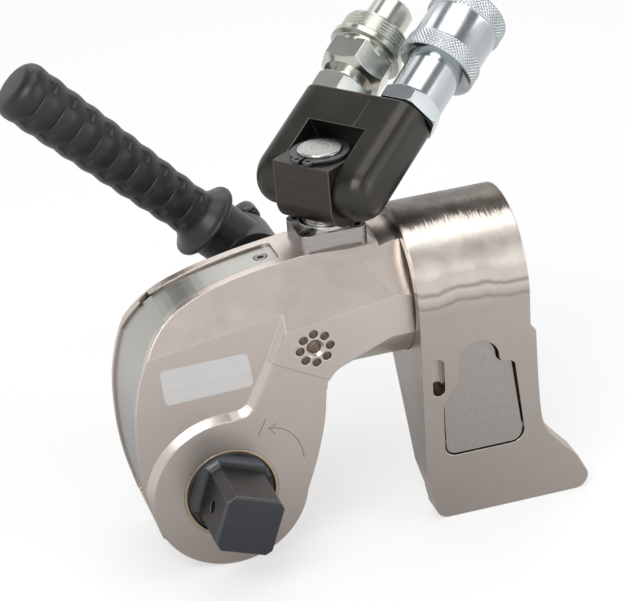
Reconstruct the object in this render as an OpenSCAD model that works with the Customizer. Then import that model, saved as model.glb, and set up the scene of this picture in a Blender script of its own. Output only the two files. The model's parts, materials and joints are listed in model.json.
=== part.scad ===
/* [Head] */
// Height of the barrel axis above the drive axis
barrel_z = 69; // [64:1:80]
// Radius of the round drive end
head_r = 33.5; // [31:0.5:40]
// Half thickness over the drive surround
surround_half = 25.5; // [24:0.5:32]
// Half thickness over the recessed panel
panel_half = 22.5; // [21:0.5:24]
// Half thickness over the handle flats
flat_half = 26.5; // [25:0.5:32]
// Wall left around the ratchet chamber
head_wall = 4.2; // [3:0.1:5]

/* [Barrel] */
// Outer radius of the barrel
barrel_r = 28.85; // [27:0.05:34]
// Where the milled block ends and the round barrel starts
block_end = 75; // [72:1:80]
// Free end of the barrel
barrel_end = 132.5; // [126:0.5:160]
// Height of the flat top above the barrel axis
top_rise = 26.6; // [24:0.2:30]
// Radius of the cylinder bore
bore_r = 20; // [17:0.5:21]
// Number of reaction splines
spline_count = 30; // [18:1:40]

/* [Square drive] */
// Size across the flats of the drive
drive_af = 25.4; // [19.05:0.05:25.4]
// Length of the drive in front of the head
drive_length = 29.5; // [22:0.5:40]
// Turn of the drive about its axis
drive_turn = 20.5; // [0:0.5:45]
// Radius of the hub that turns in the bushes
hub_r = 19; // [18.8:0.1:20]
// Radius of the socket pin hole
pin_hole_r = 2.75; // [2:0.05:3]

/* [Ratchet] */
// Number of ratchet teeth
tooth_count = 36; // [24:1:48]
// Half width of the toothed rim
wheel_half = 11; // [9:0.5:12]
// Depth of the ratchet teeth
tooth_depth = 2.2; // [1.5:0.1:2.6]

/* [Drive lever and piston] */
// Radius from the drive axis to the lever pin
lever_r = 69.7; // [65:0.1:80]
// Half of the swing of the lever
lever_half_swing = 11; // [8:0.5:12]
// Thickness of each lever plate
lever_plate = 4.4; // [3:0.1:4.8]
// Radius of the lever pin
lever_pin_r = 5; // [4:0.5:6]
// Radius of the piston rod
rod_r = 9; // [7:0.5:9.5]
// Width of the piston
piston_w = 12; // [9:0.5:14]

/* [Reaction arm] */
// Start of the collar along the barrel
collar_start = 84.5; // [82:0.5:90]
// Outer radius of the collar
collar_r = 34; // [33:0.1:42]
// Width of the arm's foot
foot_w = 68; // [55:1:90]
// Depth of the foot below the drive axis
foot_drop = 33.5; // [31:0.5:50]

/* [Swivel] */
// Place of the swivel post along the barrel
post_x = 57.3; // [56:0.1:60]
// Turn of the swivel block about the post
swivel_turn = -53; // [-180:1:180]
// Angle of the hose ports above level
manifold_lift = 28; // [10:1:90]
// Radius of the swivel post
post_r = 9.5; // [8:0.1:10]
// Side of the swivel block
swivel_side = 28; // [27:0.5:34]
// Width of the manifold
manifold_w = 58; // [57:1:74]
// Thickness of the manifold
manifold_t = 25; // [24.5:0.5:30]
// Distance from the cross pins to the port face
manifold_reach = 39; // [37:0.5:48]
// Distance of each port from the middle
port_offset = 18.5; // [18:0.5:24]

/* [Handle] */
// Length from the hub axis to the end of the grip
grip_reach = 136; // [110:1:180]
// Radius of the grip at its free end
grip_end_r = 13.5; // [12:0.1:17]
// Radius of the grip beside the guard
grip_neck_r = 10.4; // [9:0.1:13]
// Distance of the grip from the middle plane
grip_y = 78; // [70:1:100]
// Angle of the grip above the head
grip_angle = 134; // [90:1:180]
// Radius of the star knob
knob_r = 16; // [13:0.5:20]

/* [Hidden] */

// Fits between pieces
run_gap = 0.05;
free_gap = 0.3;
seat_gap = 0.02;
over = 1;
far = 200;
round_fn = 96;
small_fn = 48;

// Head outline: places as shares of the head radius and the barrel height
top_z = barrel_z + top_rise;
top_bend_x = 42;
rim_shares = [
    [0.597, 1.343], [-0.06, 1.268], [-0.537, 1.155], [-0.866, 0.957],
    [-1.054, 0.674], [-1.101, 0.391], [-1.063, 0.101], [-0.925, -0.212]
];
side_shares = [[1.143, 0.12], [1.275, 0.355]];
ledge_shares = [[0.06, 0.483], [0.352, 0.498]];
ledge_corner_share = [0.7, 0.807];
ledge_top_share = [0.97, 1.106];
rim_steps = 5;
arc_start = 209;
arc_end = 350;
arc_steps = 36;
arc_inset = 0.6;
slope_run = 2.6;
slope_lip = 0.3;
ledge_round = 9;
neck_fillet_r = 12;
neck_share = [1.328, 0.543];
neck_turn = 112;
neck_mid = 150;
flare_x_share = 1.349;
slope_in = 0.2;
ledge_lip = 0.5;

// Sloped bands beside the flat top, and the facet at their end
band_drop = 5;
band_rise = 8.8;
band_lean = 28.3;
facet_x = 62;
facet_half = 14.7;
facet_turn = 5.6;
facet_lean = 33.8;
flare_r = 10;
step_chamfer = 2;
flats_end = collar_start + 5;

// Ratchet chamber and mechanism
bush_wall = 1.3;
bush_gap = run_gap;
chamber_half = wheel_half + lever_plate + 1.1;
wheel_gap = 2.3;
chamber_gap = 1.5;
chamber_low_share = 0.75;
chamber_high_share = 0.62;
chamber_side_share = 0.6;
chamber_side_angle = 20;
wheel_r = head_r - head_wall - wheel_gap;
chamber_r = head_r - head_wall;
hub_half = surround_half - 4.5;
shoulder_r = hub_r - run_gap - 0.45;
shoulder_recess = 0.9;
drive_corner_cut = 3.3;
drive_chamfer = 1;
drive_root_r = 4.5;
key_count = 12;
key_root_r = 14.4;
key_tip_r = 15.9;
key_gap = 0.12;
key_gap_share = 0.05;
key_root_share = 0.6;
key_tip_share = 0.5;
detent_share = 0.5;
drive_tail = 20.2;
cap_half = 25;
button_r = 6;
button_flange_r = 7.6;
button_flange = 1.2;
button_out = 2;
button_travel = 1.6;
spring_wire = 1;
button_spring_r = 4.6;
spring_turns = 5;
spring_pocket_gap = 0.6;

// Lever, pawls and their pins
lever_ring = 5.5;
lever_ring_r = hub_r + run_gap + lever_ring;
lever_boss_r = 8.5;
lever_waist = 8;
pawl_pin_r = 3;
pawl_pin_at = 41;
pawl_boss_r = 6;
pawl_nose_gap = 0.6;
pawl_half = 9;
pawl_teeth = 3;
pawl_lift_limit = 4;
hold_pin_x_share = -0.76;
hold_pin_z_share = 0.58;
hold_pin_r = 2;
hold_boss_r = 4;
hold_nose_angle = 134;
hold_half = 5;

// Piston and cylinder
bore_start = 52;
gland_w = 10;
gland_lip = 1;
rod_hole_gap = 0.6;
stroke = 2 * lever_r * sin(lever_half_swing);
cap_w = 12;
cap_thread_r = bore_r + 1.5;
cap_socket_r = 8;
cap_socket_depth = 5;
piston_back = 1.5;
seal_w = 3;
seal_depth = 2;
tongue_half = 9;
tongue_share = 0.85;
tongue_r = 8.4;
slot_clear = 0.9;
nut_w = 5;
nut_r = 8;

// Splines and arm
spline_start = 100;
spline_depth = 2.2;
spline_step = 0.15;
spline_top_share = 0.42;
spline_base_share = 0.62;
spline_gap = 0.22;
spline_gap_share = 0.05;
collar_gap = 0.25;
groove_x = 105.3;
groove_w = 8.6;
groove_r = barrel_r - 3.5;
arm_left_foot = 90;
arm_corner = 6;
arm_step = 2;
arm_front_half = 27.5;
arm_back_top_y = 12;
arm_back_low_y = -18.5;
arm_back_low_z = -20;
arm_foot_back_y = -16.5;

// Lock lever in its pocket
pocket_left = 93.2;
pocket_right = 129.8;
pocket_right_top = 125.6;
pocket_low = -3;
pocket_high = 38;
pocket_shoulders = [32, 22];
pocket_rounds = [5, 6, 3, 3, 9, 9, 4, 4];
pocket_bends = [1, 1, 1, -1, 1, 1, -1, 1];
arch_x = 109.6;
arch_z = 50.2;
arch_r = 9.2;
pocket_depth = 9.4;
lock_plate = 3;
lock_recess = 0.7;
lock_gap = 0.8;
lock_lean = 3;
lock_pin_r = 2;
lock_pin_z = 3;
lock_pin_in = 4.2;
lock_knuckle_r = 3.2;
nose_half = 3.9;
nose_low = 41.5;
nose_high = 47;
nose_gap = 0.35;
access_slot_x = 91.6;
access_slot_low = 30.4;
access_slot_high = 42.6;
access_slot_r = 2.7;
access_slot_depth = 6;
access_hole_depth = 16;

// Swivel
base_len = 29;
base_w = 24.6;
base_h = 7.4;
base_corner = 3.5;
base_screw_x = 10.8;
base_screw_y = 8.6;
screw_r = 1.9;
screw_head_r = 3.3;
screw_head_h = 3.2;
screw_depth = 5.5;
hex_key_r = 1.6;
hex_key_depth = 1.6;
spigot_r = 7;
post_flange_r = 11.5;
post_flange_h = 2;
block_gap = 0.3;
block_z = top_z + base_h + post_flange_h + block_gap;
swivel_h = 28;
pin_z = block_z + swivel_h / 2 + 1.2;
swivel_round = 10;
clip_w = 1.3;
clip_out_r = 12.3;
clip_in_r = post_r - 0.9;
clip_ear_r = 2.3;
clip_ear_turn = 13;
post_top = 2.6;
post_chamfer = 0.6;
cross_pin_r = 6.5;
cross_pin_in = 3.6;
cross_pin_out = 8;
slot_gap = 0.3;
slot_reach = 21.4;
edge_r = 8.5;
lobe_r = manifold_t / 2;
port_r = 6.4;
port_depth = 11;
plug_r = 1.7;
plug_depth = 4;
plug_y = 4.5;
plug_z = -6;

// Couplers, measured from the port face
adapter_af = 22;
adapter_hex = 10;
adapter_neck_r = 8.3;
male_start = 14.5;
male_af = 27;
male_hex_end = 27;
male_ring_start = 29;
male_ring_end = 32.5;
male_ring_r = 16.5;
male_thread_end = 41.5;
male_thread_r = 14.8;
male_end = 56;
probe_r = 9.3;
male_bore_r = 5.6;
poppet_r = 4.6;
poppet_travel = 3;
female_af = 25;
female_hex = 8.5;
female_body_r = 12;
female_body_end = 35;
female_bore_start = 14;
female_bore_r = 9.5;
sleeve_step = 8;
sleeve_step_r = 13.9;
sleeve_start = 28;
sleeve_end = 61;
sleeve_r = 15.9;
sleeve_bore_r = 14.2;
sleeve_lip = 4;
band_r = 17;
band_w = 8.5;
sleeve_clip_r = 13.6;
sleeve_clip_w = 1.2;

// Handle
pattern_x_share = 1.424;
pattern_z_share = 0.861;
pattern_x = pattern_x_share * barrel_r;
pattern_z = pattern_z_share * barrel_z;
pattern_pcd = 13;
pattern_count = 8;
pattern_r = 1.95;
pattern_back_r = 2.25;
pattern_depth = 6;
pattern_turn = 91.8;
tap_r = 2.75;
tap_depth = 8;
tap_sink = 1.2;
hub_out_r = 11;
hub_neck_r = 9.5;
hub_plate = 5;
index_pin_len = 7;
index_pin_out = 3.5;
elbow_r = 14.5;
elbow_half = 14;
elbow_neck_r = 13.2;
guard_at = 24;
guard_w = 3.6;
guard_r = 17.5;
guard_small_r = 14.5;
guard_edge = 1;
core_r = 6;
core_start = elbow_r + 1;
core_end = 3;
rib_count = 9;
rib_pitch = 10.6;
rib_w = 7.2;
rib_depth = 1.1;
grip_round = 5;
spine_w = 7;
knob_gap = 0.3;
knob_w = 12;
knob_hub_r = 9;
knob_lobes = 6;
knob_lobe_r = 4.4;
knob_round_share = 0.6;
knob_turn = 6;
stud_r = 2.65;
stud_depth = 6;

// Curve helpers
function arc(r, a0, a1, n) = [for (i = [0:n]) let (a = a0 + (a1 - a0) * i / n) [r * cos(a), r * sin(a)]];
function shift(points, by) = [for (p = points) p + by];
function placed(shares) = [for (s = shares) [s[0] * head_r, s[1] * barrel_z]];
function blend(a, b, c, d, t) = 0.5 * (
    2 * b + (c - a) * t + (2 * a - 5 * b + 4 * c - d) * t * t + (3 * b - a - 3 * c + d) * t * t * t);
function smooth(p, n) = [
    for (i = [0:len(p) - 2])
        for (k = [0:n - 1])
            blend(p[max(i - 1, 0)], p[i], p[i + 1], p[min(i + 2, len(p) - 1)], k / n),
    p[len(p) - 1]
];
function side_normal(p, i) =
    let (a = p[max(i - 1, 0)], b = p[min(i + 1, len(p) - 1)], d = (b - a) / norm(b - a))
        [-d[1], d[0]];
function inset(p, by) = [for (i = [0:len(p) - 1]) p[i] + by * side_normal(p, i)];
function turned(p, r, n) = let (
    a = (p[1] - p[0]) / norm(p[1] - p[0]), b = (p[2] - p[1]) / norm(p[2] - p[1]),
    bend = atan2(a[0] * b[1] - a[1] * b[0], a[0] * b[0] + a[1] * b[1]), back = r * tan(abs(bend) / 2),
    s = sign(bend), c = p[1] - back * a + s * r * [-a[1], a[0]], start = atan2(-s * a[0], s * a[1]))
    [for (k = [0:n]) c + r * [cos(start + bend * k / n), sin(start + bend * k / n)]];
function reversed(p) = [for (i = [len(p) - 1:-1:0]) p[i]];
function toothed(n, root, tip, base_share, top_share) = [
    for (i = [0:n - 1])
        for (k = [[-base_share, root], [-top_share, tip], [top_share, tip], [base_share, root]])
            let (a = 360 / n * (i + k[0] / 2)) [k[1] * cos(a), k[1] * sin(a)]
];

// Outline of the head, from the flat top round the back to the drive end
neck_centre = [neck_share[0] * head_r + neck_fillet_r, neck_share[1] * barrel_z];
neck_flat = shift(arc(neck_fillet_r, neck_turn, neck_mid, 4), neck_centre);
neck_low = shift(arc(neck_fillet_r, neck_mid, 180, 3), neck_centre);
side_curve = smooth(concat(
    [head_r * [cos(arc_end), sin(arc_end)]], placed(side_shares), [neck_low[len(neck_low) - 1]]), 4);
rim = smooth(concat([[top_bend_x, top_z]], placed(rim_shares)), rim_steps);
head_outline = concat(
    [[block_end, top_z]], rim,
    arc(head_r - arc_inset, arc_start, arc_end, arc_steps),
    side_curve,
    [[flare_x_share * head_r, neck_centre[1]], [flare_x_share * head_r, barrel_z], [block_end, barrel_z]]
);

// Placing helpers
module slab(half) rotate([90, 0, 0]) linear_extrude(2 * half, center = true) children();
module x_slab(x, length) translate([x, 0, 0]) rotate([90, 0, 90]) linear_extrude(length) children();
module on_barrel(x) translate([x, 0, barrel_z]) rotate([0, 90, 0]) children();
module from_y(y) translate([0, y, 0]) rotate([-90, 0, 0]) children();
module both_sides() {
    children();
    mirror([0, 1, 0]) children();
}
module at_post() translate([post_x, 0, 0]) rotate([0, 0, swivel_turn]) children();
module at_pins() at_post() translate([0, 0, pin_z]) children();
module at_manifold() at_pins() rotate([manifold_lift, 0, 0]) children();
module at_port(side) at_manifold() translate([side * port_offset, manifold_reach, 0]) rotate([-90, 0, 0]) children();
module at_hub(y) translate([pattern_x, y, pattern_z]) rotate([-90, 0, 0]) children();
module on_grip(at) translate([pattern_x, grip_y, pattern_z]) rotate([0, 90 - grip_angle, 0]) translate([0, 0, at]) children();
module tube(r, bore, h) difference() {
    cylinder(h = h, r = r, $fn = round_fn);
    translate([0, 0, -over]) cylinder(h = h + 2 * over, r = bore, $fn = round_fn);
}
module ring(r, wire) rotate_extrude($fn = small_fn) translate([r, 0]) circle(r = wire, $fn = 16);
module coil(r, wire, turns, pitch) for (i = [0:turns - 1]) translate([0, 0, i * pitch]) ring(r, wire);
module hexagon(af, h) cylinder(h = h, r = af / 2 / cos(30), $fn = 6);
module revolve(points) rotate_extrude($fn = round_fn) polygon(points);
module cap_screw(r, depth) {
    translate([0, 0, -depth]) cylinder(h = depth, r = r, $fn = small_fn);
    difference() {
        cylinder(h = screw_head_h, r = screw_head_r, $fn = small_fn);
        translate([0, 0, screw_head_h - hex_key_depth]) hexagon(2 * hex_key_r, hex_key_depth + over);
    }
}

// Everything outside one sloped band, and outside the facet at its end
module outside_band(inward) translate([0, inward - flat_half, barrel_z - band_drop])
    rotate([0, -band_rise, 0]) rotate([-band_lean, 0, 0])
        translate([-far, -far, -far]) cube([2 * far, far, 2 * far]);
module outside_facet() translate([facet_x, -facet_half, top_z])
    rotate([0, 0, facet_turn]) rotate([-facet_lean, 0, 0])
        translate([-far, -far, -far]) cube([2 * far, far, 2 * far]);

// Housing
module panel_form() slab(panel_half) polygon(head_outline);
ledge_path = concat(
    placed([ledge_shares[0]]),
    turned(placed([ledge_shares[0], ledge_shares[1], ledge_corner_share]), ledge_round, 4),
    placed([ledge_corner_share, ledge_top_share]));
module surround_form() slab(surround_half) {
    circle(r = head_r, $fn = round_fn);
    polygon(concat(
        [[0, 0]], [for (i = [0:len(ledge_path) - 2]) ledge_path[i]], neck_low,
        reversed([for (i = [0:len(side_curve) - 2]) side_curve[i]])));
}
// Cross-section of the sloped wall below a level: out from the wall, and away from the middle plane
function slope_section(half, lip) = let (k = (half - lip - panel_half) / slope_run) [
    [-slope_in, half - lip + slope_in * k], [slope_run + slope_lip / k, panel_half - slope_lip],
    [-slope_in, panel_half - slope_lip]];
module ledge_slope(a, b, half) translate([a[0], 0, a[1]]) rotate([0, -atan2(b[1] - a[1], b[0] - a[0]), 0])
    rotate([90, 0, 90]) linear_extrude(norm(b - a)) polygon([for (p = slope_section(half, ledge_lip)) [p[1], p[0]]]);
module round_slope() let (p = slope_section(surround_half, slope_lip)) from_y(p[1][1])
    cylinder(h = p[0][1] - p[1][1], r1 = head_r + p[1][0], r2 = head_r + p[0][0], $fn = round_fn);
ledge_last = len(ledge_path) - 2;
module surround_slope() intersection() {
    both_sides() {
        round_slope();
        for (i = [0:ledge_last])
            ledge_slope(ledge_path[i], ledge_path[i + 1], i == ledge_last ? flat_half : surround_half);
    }
    slab(flat_half) polygon(head_outline);
}
module flat_form() intersection() {
    union() {
        slab(barrel_r + over) polygon(concat(
            placed([ledge_corner_share, ledge_top_share]),
            [rim[3], rim[2], rim[1], rim[0], [block_end, top_z],
             [block_end, barrel_z - sqrt(barrel_r * barrel_r - flat_half * flat_half)]],
            neck_flat));
        difference() {
            on_barrel(head_r) cylinder(h = flats_end - head_r, r = barrel_r, $fn = round_fn);
            translate([0, -far, barrel_z]) cube([block_end, 2 * far, far]);
        }
    }
    translate([0, -flat_half, 0]) cube([far, 2 * flat_half, far]);
}
module flare_form() intersection() {
    translate([0, 0, barrel_z]) rotate([0, 90, 0]) rotate_extrude($fn = round_fn) polygon(concat(
        [[0, head_r], [barrel_r + flare_r, head_r]],
        shift(arc(flare_r, 180 + 90, 180, 12), [barrel_r + flare_r, flare_x_share * head_r + flare_r]),
        [[0, flare_x_share * head_r + flare_r]]));
    translate([head_r, -surround_half, 0]) cube([far, 2 * surround_half, barrel_z]);
}
module barrel_form() {
    on_barrel(flats_end) cylinder(h = spline_start - flats_end, r = barrel_r, $fn = round_fn);
    on_barrel(spline_start - over) linear_extrude(barrel_end - spline_start + over)
        polygon(toothed(spline_count, barrel_r - spline_depth, barrel_r - spline_step, spline_base_share, spline_top_share));
}
module chamber_cut() slab(chamber_half) {
    circle(r = chamber_r, $fn = round_fn);
    polygon([
        [-far, 0], [-far, barrel_z - lever_pin_r], [-head_r * chamber_low_share, barrel_z - lever_pin_r],
        [-head_r * chamber_high_share, lever_r + lever_boss_r + chamber_gap],
        [lever_r * sin(lever_half_swing) + lever_boss_r + chamber_gap, lever_r + lever_boss_r + chamber_gap],
        [lever_r * sin(lever_half_swing) + lever_boss_r + chamber_gap, lever_r * chamber_side_share],
        chamber_r * [cos(chamber_side_angle), sin(chamber_side_angle)], [0, 0]]);
}
module index_ring(r) translate([pattern_x, -flat_half, pattern_z]) rotate([-90, 0, 0]) {
    for (i = [0:pattern_count - 1])
        rotate([0, 0, -pattern_turn - i * 360 / pattern_count])
            translate([pattern_pcd / 2, 0, -over]) cylinder(h = pattern_depth + over, r = r, $fn = small_fn);
    translate([0, 0, -over]) cylinder(h = tap_depth + over, r = tap_r, $fn = small_fn);
    translate([0, 0, -seat_gap]) cylinder(h = tap_sink, r1 = tap_r + tap_sink, r2 = tap_r, $fn = small_fn);
}
shroud_t = 1.4;
shroud_sink = 1.2;
shroud_half = 20.4;
shroud_side = 4.2;
shroud_round = 4;
shroud_head_r = 3;
shroud_head_h = 1.1;
shroud_screw_depth = head_wall - shroud_sink - shroud_t - 2 * free_gap;
shroud_first = 2;
shroud_last = len(rim) - 1;
shroud_start_share = 0.15;
shroud_path = concat([rim[shroud_first] + shroud_start_share * (rim[shroud_first + 1] - rim[shroud_first])],
    [for (i = [shroud_first + 1:shroud_last]) rim[i]]);
shroud_screw_first = 3.4;
shroud_screw_last = len(rim) - 3;
function rim_turn(i) = let (n = side_normal(rim, i)) atan2(-n[0], -n[1]);
function band_edge(at, inward) = inward - flat_half
    + tan(band_lean) * (cos(band_rise) * (at[1] - barrel_z + band_drop) - sin(band_rise) * at[0]);
module shroud_form(half, inward, high, deep) difference() {
    slab(half) polygon(concat(inset(shroud_path, high), reversed(inset(shroud_path, deep))));
    both_sides() {
        outside_band(inward);
        translate([shroud_path[0][0] - shroud_round + shroud_t / 2,
            band_edge(shroud_path[0], inward) + shroud_round - free_gap, barrel_z])
            difference() {
                translate([0, -far, 0]) cube([far, far, far]);
                cylinder(h = far, r = shroud_round, $fn = small_fn);
            }
    }
}
module at_shroud_screws() for (i = [shroud_screw_first, shroud_screw_last]) let (
    k = floor(i), at = rim[k] + (i - k) * (rim[min(k + 1, len(rim) - 1)] - rim[k]))
    translate([at[0], 0, at[1]]) rotate([0, rim_turn(k), 0]) translate([0, 0, -shroud_sink]) children();
module shroud_holes(r, deep) at_shroud_screws() translate([0, 0, -deep]) cylinder(h = deep + over, r = r, $fn = small_fn);
module housing() color([0.66, 0.61, 0.56]) difference() {
    union() {
        difference() {
            union() {
                panel_form();
                surround_form();
                surround_slope();
                flat_form();
            }
            both_sides() {
                outside_band(0);
                outside_facet();
            }
        }
        flare_form();
        barrel_form();
    }
    chamber_cut();
    both_sides() from_y(chamber_half - over)
        cylinder(h = surround_half, r = hub_r + bush_gap + bush_wall, $fn = round_fn);
    on_barrel(head_r / 2) cylinder(h = bore_start, r = rod_r + rod_hole_gap, $fn = round_fn);
    on_barrel(bore_start) cylinder(h = far, r = bore_r, $fn = round_fn);
    on_barrel(barrel_end - cap_w) cylinder(h = far, r = cap_thread_r, $fn = round_fn);
    on_barrel(groove_x) tube(far / 2, groove_r, groove_w);
    shroud_form(shroud_half, shroud_side, -over, shroud_sink + shroud_t);
    shroud_holes(screw_r, shroud_t + shroud_screw_depth + free_gap);
    index_ring(pattern_r);
    mirror([0, 1, 0]) index_ring(pattern_back_r);
    for (x = [-1, 1]) for (y = [-1, 1])
        translate([post_x + x * base_screw_x, y * base_screw_y, top_z - screw_depth])
            cylinder(h = screw_depth + over, r = screw_r, $fn = small_fn);
    translate([head_r * hold_pin_x_share, 0, barrel_z * hold_pin_z_share]) from_y(-chamber_half - head_wall)
        cylinder(h = 2 * (chamber_half + head_wall), r = hold_pin_r + seat_gap, $fn = small_fn);
}
module shroud() color([0.78, 0.77, 0.74]) difference() {
    shroud_form(shroud_half - seat_gap, shroud_side + seat_gap, shroud_sink, shroud_sink + shroud_t - seat_gap);
    shroud_holes(screw_r + seat_gap, head_wall);
    at_shroud_screws() translate([0, 0, -shroud_head_h - over / 2]) cylinder(
        h = shroud_head_h + over, r1 = screw_r + seat_gap, r2 = shroud_head_r + over / 2 + seat_gap, $fn = small_fn);
}
module shroud_screws() color([0.45, 0.44, 0.43]) at_shroud_screws() difference() {
    revolve([
        [0, -shroud_t - shroud_screw_depth], [screw_r - seat_gap, -shroud_t - shroud_screw_depth],
        [screw_r - seat_gap, -shroud_head_h], [shroud_head_r - free_gap, -seat_gap], [0, -seat_gap]]);
    translate([0, 0, -hex_key_depth]) hexagon(2 * hex_key_r * cos(30), hex_key_depth + over);
}

// Bushes, ratchet wheel and square drive
module drive_bush() from_y(chamber_half)
    tube(hub_r + bush_gap + bush_wall - seat_gap, hub_r + bush_gap, surround_half - chamber_half);
module drive_bush_front() color([0.8, 0.62, 0.36]) mirror([0, 1, 0]) drive_bush();
module drive_bush_back() color([0.8, 0.62, 0.36]) drive_bush();
function ratchet_points(n, root, tip) = [
    for (i = [0:n - 1]) for (k = [[0, root], [0.18, tip], [0.3, tip]])
        let (a = 360 / n * (i + k[0])) [k[1] * cos(a), k[1] * sin(a)]
];
module key_shape(gap, gap_share) polygon(toothed(
    key_count, key_root_r + gap, key_tip_r + gap, key_root_share + gap_share, key_tip_share + gap_share));
module ratchet_wheel() color([0.42, 0.41, 0.4]) difference() {
    union() {
        slab(wheel_half) polygon(ratchet_points(tooth_count, wheel_r - tooth_depth, wheel_r));
        from_y(-hub_half) cylinder(h = 2 * hub_half, r = hub_r, $fn = round_fn);
    }
    rotate([0, drive_turn, 0]) slab(far) key_shape(key_gap, key_gap_share);
}
module square_section() intersection() {
    square(drive_af, center = true);
    rotate(45) square(drive_af * sqrt(2) - drive_corner_cut * sqrt(2), center = true);
}
module drive_root() intersection() {
    slab_from(-surround_half + shoulder_recess - drive_root_r, drive_root_r + over) circle(r = shoulder_r, $fn = round_fn);
    difference() {
        slab_from(-surround_half + shoulder_recess - drive_root_r, drive_root_r + over) square(far, center = true);
        for (i = [0:7])
            rotate([0, i * 45, 0]) translate([
                drive_root_r + (i % 2 == 0 ? drive_af / 2 : (drive_af - drive_corner_cut) / sqrt(2)),
                -surround_half + shoulder_recess - drive_root_r, -far / 2])
                cylinder(h = far, r = drive_root_r, $fn = round_fn);
    }
}
module square_drive() color([0.2, 0.2, 0.21]) rotate([0, drive_turn, 0]) difference() {
    union() {
        drive_root();
        slab_from(-surround_half - drive_length + drive_chamfer, drive_length + hub_shoulder) square_section();
        slab_from(-surround_half - drive_length, drive_length) intersection() {
            square(drive_af - drive_chamfer, center = true);
            square_section();
        }
        from_y(-surround_half + shoulder_recess)
            cylinder(h = surround_half - shoulder_recess - hub_half - run_gap, r = shoulder_r, $fn = round_fn);
        slab_from(-hub_half - run_gap, hub_half + run_gap + drive_tail) key_shape(0, 0);
    }
    translate([-far / 2, -surround_half - drive_length * detent_share, 0])
        rotate([0, 90, 0]) cylinder(h = far, r = pin_hole_r, $fn = small_fn);
    from_y(button_low - button_travel - button_spring_h - free_gap)
        cylinder(h = far, r = button_spring_r + spring_wire / 2 + spring_pocket_gap, $fn = small_fn);
}
hub_shoulder = surround_half - hub_half - over;
module slab_from(y, length) translate([0, y + length, 0]) rotate([90, 0, 0]) linear_extrude(length) children();
module retaining_cap() color([0.3, 0.3, 0.31]) difference() {
    from_y(hub_half + run_gap) revolve([
        [0, 0], [shoulder_r, 0], [shoulder_r, cap_half - hub_half - over / 2],
        [shoulder_r - over / 2, cap_half - hub_half], [0, cap_half - hub_half]]);
    from_y(0) cylinder(h = far, r = button_r + run_gap, $fn = small_fn);
    from_y(0) cylinder(h = hub_half + button_travel + button_flange, r = button_flange_r + free_gap, $fn = small_fn);
}
button_low = hub_half + button_travel - seat_gap;
button_spring_h = spring_wire * (1 + (spring_turns - 1) * 0.8);
module release_button() color([0.55, 0.54, 0.52]) from_y(button_low) {
    cylinder(h = button_flange, r = button_flange_r, $fn = small_fn);
    cylinder(h = cap_half + button_out - button_low, r = button_r, $fn = small_fn);
}
module button_spring() color([0.6, 0.6, 0.6]) from_y(button_low - seat_gap - button_spring_h + spring_wire / 2)
    coil(button_spring_r, spring_wire / 2, spring_turns, spring_wire * 0.8);

// Drive lever with its pawl; built upright and leaned to the retracted side
module on_lever() rotate([0, lever_half_swing, 0]) children();
module lever_plate_shape() difference() {
    union() {
        circle(r = lever_ring_r, $fn = round_fn);
        translate([0, lever_r]) circle(r = lever_boss_r, $fn = small_fn);
        polygon([[-lever_ring_r, 0], [lever_ring_r, 0], [lever_waist, pawl_pin_at],
                 [lever_boss_r, lever_r], [-lever_boss_r, lever_r], [-lever_waist, pawl_pin_at]]);
    }
    circle(r = hub_r + run_gap, $fn = round_fn);
    translate([0, lever_r]) circle(r = lever_pin_r, $fn = small_fn);
    translate([0, pawl_pin_at]) circle(r = pawl_pin_r, $fn = small_fn);
}
bridge_low = pawl_pin_at + pawl_boss_r + 2.2;
bridge_high = lever_r - tongue_r - 2.4;
module drive_lever() color([0.4, 0.4, 0.41]) on_lever() {
    both_sides() slab_from(wheel_half + free_gap, lever_plate) lever_plate_shape();
    translate([-lever_waist + over, -wheel_half - free_gap - over, bridge_low])
        cube([2 * (lever_waist - over), 2 * (wheel_half + free_gap + over), bridge_high - bridge_low]);
}
module lever_pin() color([0.6, 0.6, 0.6]) on_lever() translate([0, 0, lever_r])
    from_y(-wheel_half - free_gap - lever_plate)
        cylinder(h = 2 * (wheel_half + free_gap + lever_plate), r = lever_pin_r - seat_gap, $fn = small_fn);
pawl_half_angle = pawl_teeth * 180 / tooth_count;
module drive_pawl() color([0.5, 0.49, 0.47]) on_lever() difference() {
    slab(pawl_half) difference() {
        union() {
            translate([0, pawl_pin_at]) circle(r = pawl_boss_r, $fn = small_fn);
            polygon([
                [-wheel_r * sin(pawl_half_angle), wheel_r * cos(pawl_half_angle)],
                [wheel_r * sin(pawl_half_angle), wheel_r * cos(pawl_half_angle)],
                [pawl_boss_r, pawl_pin_at], [-pawl_boss_r, pawl_pin_at]]);
        }
        circle(r = wheel_r + pawl_nose_gap, $fn = round_fn);
        for (i = [-pawl_teeth:pawl_teeth]) rotate(i * 360 / tooth_count) translate([0, wheel_r + pawl_nose_gap])
            polygon([[-tooth_depth / 2, -over], [tooth_depth / 2, -over], [0, tooth_depth / 2]]);
    }
    translate([0, 0, pawl_pin_at]) from_y(-far / 2) cylinder(h = far, r = pawl_pin_r + run_gap, $fn = small_fn);
}
module drive_pawl_pin() color([0.6, 0.6, 0.6]) on_lever() translate([0, 0, pawl_pin_at])
    from_y(-wheel_half - free_gap - lever_plate)
        cylinder(h = 2 * (wheel_half + free_gap + lever_plate), r = pawl_pin_r - seat_gap, $fn = small_fn);
module drive_pawl_spring() color([0.7, 0.7, 0.7]) on_lever()
    translate([0, 0, pawl_pin_at + pawl_boss_r + spring_wire / 2 + seat_gap])
        coil(3, spring_wire / 2, 2, spring_wire * 0.8);

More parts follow.
